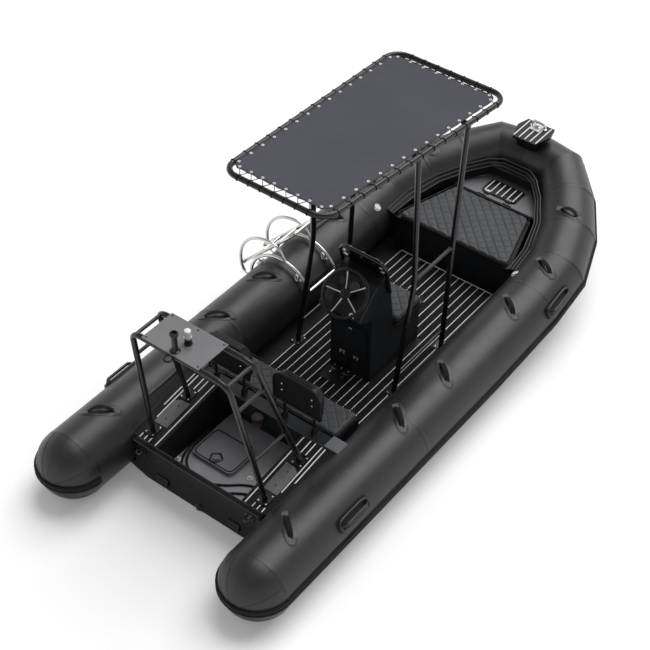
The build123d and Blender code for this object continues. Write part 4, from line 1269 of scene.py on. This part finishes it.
flap_y = 0.301
flap_foot = 0.052
flap_top = 0.102
hood_top = 0.120
for side in (1, -1):
    outer = []
    for z, proud, way in ((flap_foot, 0.016, 1), (flap_top, 0.006, -1)):
        outer += [(transom_x(z) - proud, side * flap_y + dy * way, z) for dy in (-0.044, 0.044)]
    inner = [(transom_x(z) + 0.001, y, z) for _, y, z in outer]
    flaps.loft([inner, outer])
    hood_x = transom_x(0.118)
    hood_y = side * flap_y
    flaps.box((hood_x - 0.006, hood_y - 0.048, flap_top), (hood_x + 0.006, hood_y + 0.048, hood_top), 0.002)
flaps.finish("drain_flaps", moulded_black, "post_black")
eye_plates = Builder()
eye_z = 0.296
eye_x = transom_x(eye_z)
for eye_y in (0.450, -0.450):
    eye_plates.box(
        (eye_x - 0.004, eye_y - 0.034, eye_z - 0.028), (eye_x + 0.003, eye_y + 0.034, eye_z + 0.028), 0.001)
    for dy in (-0.026, 0.026):
        for dz in (-0.020, 0.020):
            eye_plates.bolt((eye_x - 0.004, eye_y + dy, eye_z + dz), astern, 0.004)
plug_z = 0.030
eye_plates.lathe((transom_x(plug_z) + 0.002, 0, plug_z), astern, [
    (0.030, 0), (0.030, 0.006), (0.018, 0.010), (0.016, 0.018), (0, 0.018)], 28)
eye_plates.finish("transom_plates", dark_steel, "stainless")

# Bow: hatch stripes and hinges, step stripes and fittings, coaming beads
hatch_lines = Builder()
hatch_top = 0.417
for k in range(6):
    y = -0.125 + 0.050 * k
    hatch_lines.strip([(3.516, y, hatch_top), (3.660, y, hatch_top)], [up] * 2, 0.009, 0.0015)
hatch_lines.finish("bow_hatch_lines", foam_white, "deck_foam", "bow_hatch")
hatch_metal = Builder()
for y in (-0.095, 0.095):
    hatch_metal.box((3.506, y - 0.022, hatch_top - 0.0005), (3.530, y + 0.022, hatch_top + 0.003), 0.001)
    for dy in (-0.012, 0.012):
        hatch_metal.bolt((3.520, y + dy, hatch_top + 0.003), up, 0.003)
hatch_metal.finish("bow_hatch_hinges", steel, "stainless", "bow_hatch")
step_lines = Builder()
step_top = 0.772
for k in range(5):
    y = -0.096 + 0.048 * k
    step_lines.strip([(3.822, y, step_top), (4.060, y, step_top)], [up] * 2, 0.010, 0.0015)
step_lines.finish("bow_step_lines", foam_white, "deck_foam")
step_metal = Builder()
for y in (-0.052, 0.052):
    step_metal.lathe((4.022, y, step_top), up, [
        (0.020, 0), (0.020, 0.004), (0.0085, 0.006), (0.0085, 0.012)], 22)
step_metal.finish("fairlead_feet", steel, "stainless")
step_base = Builder()
base_top = step_top + 0.010
step_base.box((3.955, -0.040, step_top), (4.048, 0.040, base_top), 0.004)
step_base.finish("fairlead_base", valve_white, "valve_white")
turned("fairlead_bollard", (4.000, 0, base_top), up, [
    (0.026, 0), (0.026, 0.003), (0.014, 0.006), (0.012, 0.022), (0.018, 0.026), (0.016, 0.032), (0, 0.033),
], 28, steel, "stainless")
beads = Builder()
# columns: x, inner half width, inner z, outer half width, outer z
coaming_table = [
    (2.852, 0.512, 0.405, 0.570, 0.425), (3.080, 0.490, 0.425, 0.560, 0.460),
    (3.344, 0.415, 0.460, 0.470, 0.500), (3.560, 0.290, 0.492, 0.335, 0.540),
    (3.688, 0.175, 0.515, 0.215, 0.570),
]
for share in (0.06, 0.50, 0.94):
    run = []
    for x, y0, z0, y1, z1 in coaming_table:
        run.append(Vector((x, y0 + (y1 - y0) * share, z0 + (z1 - z0) * share)))
    tip = run[-1]
    run.append(Vector((tip.x + 0.035 + 0.03 * share, tip.y * 0.55, tip.z + 0.004)))
    far = sided(run, -1)
    far.reverse()
    beads.tube(run + far, 0.0055, 8)
beads.finish("coaming_beads", trim_grey, "strake_rubber")

# Fixed hoops of the ladder, bent round without corners, and the bolts of their feet on the tube
hoop_xs = (1.820, 2.125)
hoop_radius = 0.2825
ladder_tube = 0.025
hinge_y = 1.138
hinge_z = 0.280
rail_inset = 0.031
pin_past = 0.020
foot_radius = 0.236
foot_top = 0.254
bolt_circle = 0.025


def hoop_point(x, radius, degrees):
    a = math.radians(degrees)
    return Vector((x, tube_y + radius * math.cos(a), tube_z + radius * math.sin(a)))


def softened(points, rounds):
    """Cuts the corners of an open line again and again, until it runs round."""
    for turn in range(rounds):
        line = [points[0]]
        for a, b in zip(points, points[1:]):
            line += [a.lerp(b, 0.25), a.lerp(b, 0.75)]
        points = line + [points[-1]]
    return points


hoops = Builder()
ladder_bolts = Builder()
for x, inward in zip(hoop_xs, (1, -1)):
    hoops.tube([hoop_point(x, hoop_radius, -8 + 166 * k / 48) for k in range(49)], ladder_tube / 2, 14)
    loop = [
        hoop_point(x, hoop_radius, -6), Vector((x, 1.142, 0.226)), Vector((x, 1.148, 0.440)),
        Vector((x, 1.022, 0.600)), Vector((x, 0.800, 0.634)), hoop_point(x, hoop_radius, 99),
    ]
    hoops.tube(softened(loop, 4), ladder_tube / 2, 14)
    for degrees in (40, 130):
        a = math.radians(degrees)
        out = Vector((0, math.cos(a), math.sin(a)))
        hoops.lathe(hoop_point(x, foot_radius, degrees), out, [
            (0.034, 0), (0.034, 0.015), (0.031, 0.018), (0.014, 0.019), (0.0105, 0.024), (0.0105, 0.042)], 24)
        ahead = Vector((1, 0, 0))
        side_way = out.cross(ahead)
        for k in range(4):
            turn = math.radians(45 + 90 * k)
            off = (ahead * math.cos(turn) + side_way * math.sin(turn)) * bolt_circle
            ladder_bolts.bolt(hoop_point(x, foot_top, degrees) + off, out, 0.0035)
    pin_long = rail_inset + pin_past
    pin_axis = (inward, 0, 0)
    hoops.lathe((x, hinge_y, hinge_z), pin_axis, [(0.006, 0), (0.006, pin_long)], 16)
    hoops.lathe((x + inward * pin_long, hinge_y, hinge_z), pin_axis, [
        (0.010, -0.004), (0.010, 0.001), (0.007, 0.004)], 16)
hoops.tube([hoop_point(x, hoop_radius, 156) for x in hoop_xs], ladder_tube / 2, 14)
hoops.finish("ladder_hoops_bent", steel, "stainless", replaced="ladder_hoops")
ladder_bolts.finish("ladder_bolts", steel, "stainless")


# Floor, light and camera
def seen_rays(tree):
    """One for rays from the eye, off gloss or through glass, which see a white surround; else nought."""
    light_path = tree.nodes.new("ShaderNodeLightPath")
    seen = light_path.outputs["Is Camera Ray"]
    for kind in ("Is Glossy Ray", "Is Transmission Ray"):
        seen = math_of(tree, "MAXIMUM", seen, light_path.outputs[kind])
    return seen


floor_white = surface("floor_white", (0.93, 0.93, 0.93), (0.8, 0.9), 3, 0.0002, 0.01, 0.5, 0.0)
floor_tree = floor_white.node_tree
floor_shader = floor_tree.nodes["Principled BSDF"]
floor_shader.inputs["Emission Color"].default_value = (1, 1, 1, 1)
floor_shader.inputs["Emission Strength"].default_value = 0.12
floor_dull = floor_tree.nodes.new("ShaderNodeBsdfDiffuse")
floor_dull.inputs["Color"].default_value = (0.20, 0.20, 0.20, 1)
floor_mix = floor_tree.nodes.new("ShaderNodeMixShader")
floor_tree.links.new(seen_rays(floor_tree), floor_mix.inputs["Fac"])
floor_tree.links.new(floor_dull.outputs["BSDF"], floor_mix.inputs[1])
floor_tree.links.new(floor_shader.outputs["BSDF"], floor_mix.inputs[2])
floor_tree.links.new(floor_mix.outputs["Shader"], floor_tree.nodes["Material Output"].inputs["Surface"])
floor_half = 30.0
floor_points = [(x, y, 0) for x, y in rectangle(-floor_half, -floor_half, floor_half, floor_half)]
ground = mesh_object("ground", floor_points, [(0, 1, 2, 3)], floor_white)

world = bpy.data.worlds.new("studio")
bpy.context.scene.world = world
world.use_nodes = True
sky = world.node_tree
ambient = 0.40
back = sky.nodes["Background"]
back.inputs["Color"].default_value = (1, 1, 1, 1)
direction = sky.nodes.new("ShaderNodeTexCoord").outputs["Generated"]
direction_parts = sky.nodes.new("ShaderNodeSeparateXYZ")
sky.links.new(direction, direction_parts.inputs[0])
backdrop = range_of(sky, direction_parts.outputs["Z"], 1.0, ambient, 0.25, 0.55)
strength = math_of(sky, "MULTIPLY", seen_rays(sky), backdrop)
sky.links.new(math_of(sky, "MAXIMUM", strength, ambient), back.inputs["Strength"])

lamp = bpy.data.lights.new("overhead", "SUN")
lamp.energy = 2.5
lamp.angle = math.radians(54)
holder = bpy.data.objects.new("overhead", lamp)
holder.rotation_euler = Vector((0.53, -0.04, 0.85)).to_track_quat("Z", "Y").to_euler()
bpy.context.scene.collection.objects.link(holder)

camera_right = Vector((0.610588, -0.791894, 0.009268))
camera_up = Vector((0.538390, 0.423650, 0.728462))
camera_back = Vector((-0.580791, -0.439801, 0.685023))
camera_place = Vector((-4.28764, -4.26301, 7.30700))
lens = bpy.data.cameras.new("camera")
lens.sensor_width = 36.0
lens.lens = 80.664
camera = bpy.data.objects.new("camera", lens)
turn = Matrix((camera_right, camera_up, camera_back)).transposed().to_4x4()
camera.matrix_world = Matrix.Translation(camera_place) @ turn
bpy.context.scene.collection.objects.link(camera)
bpy.context.scene.camera = camera

bpy.context.scene.view_settings.view_transform = "Standard"
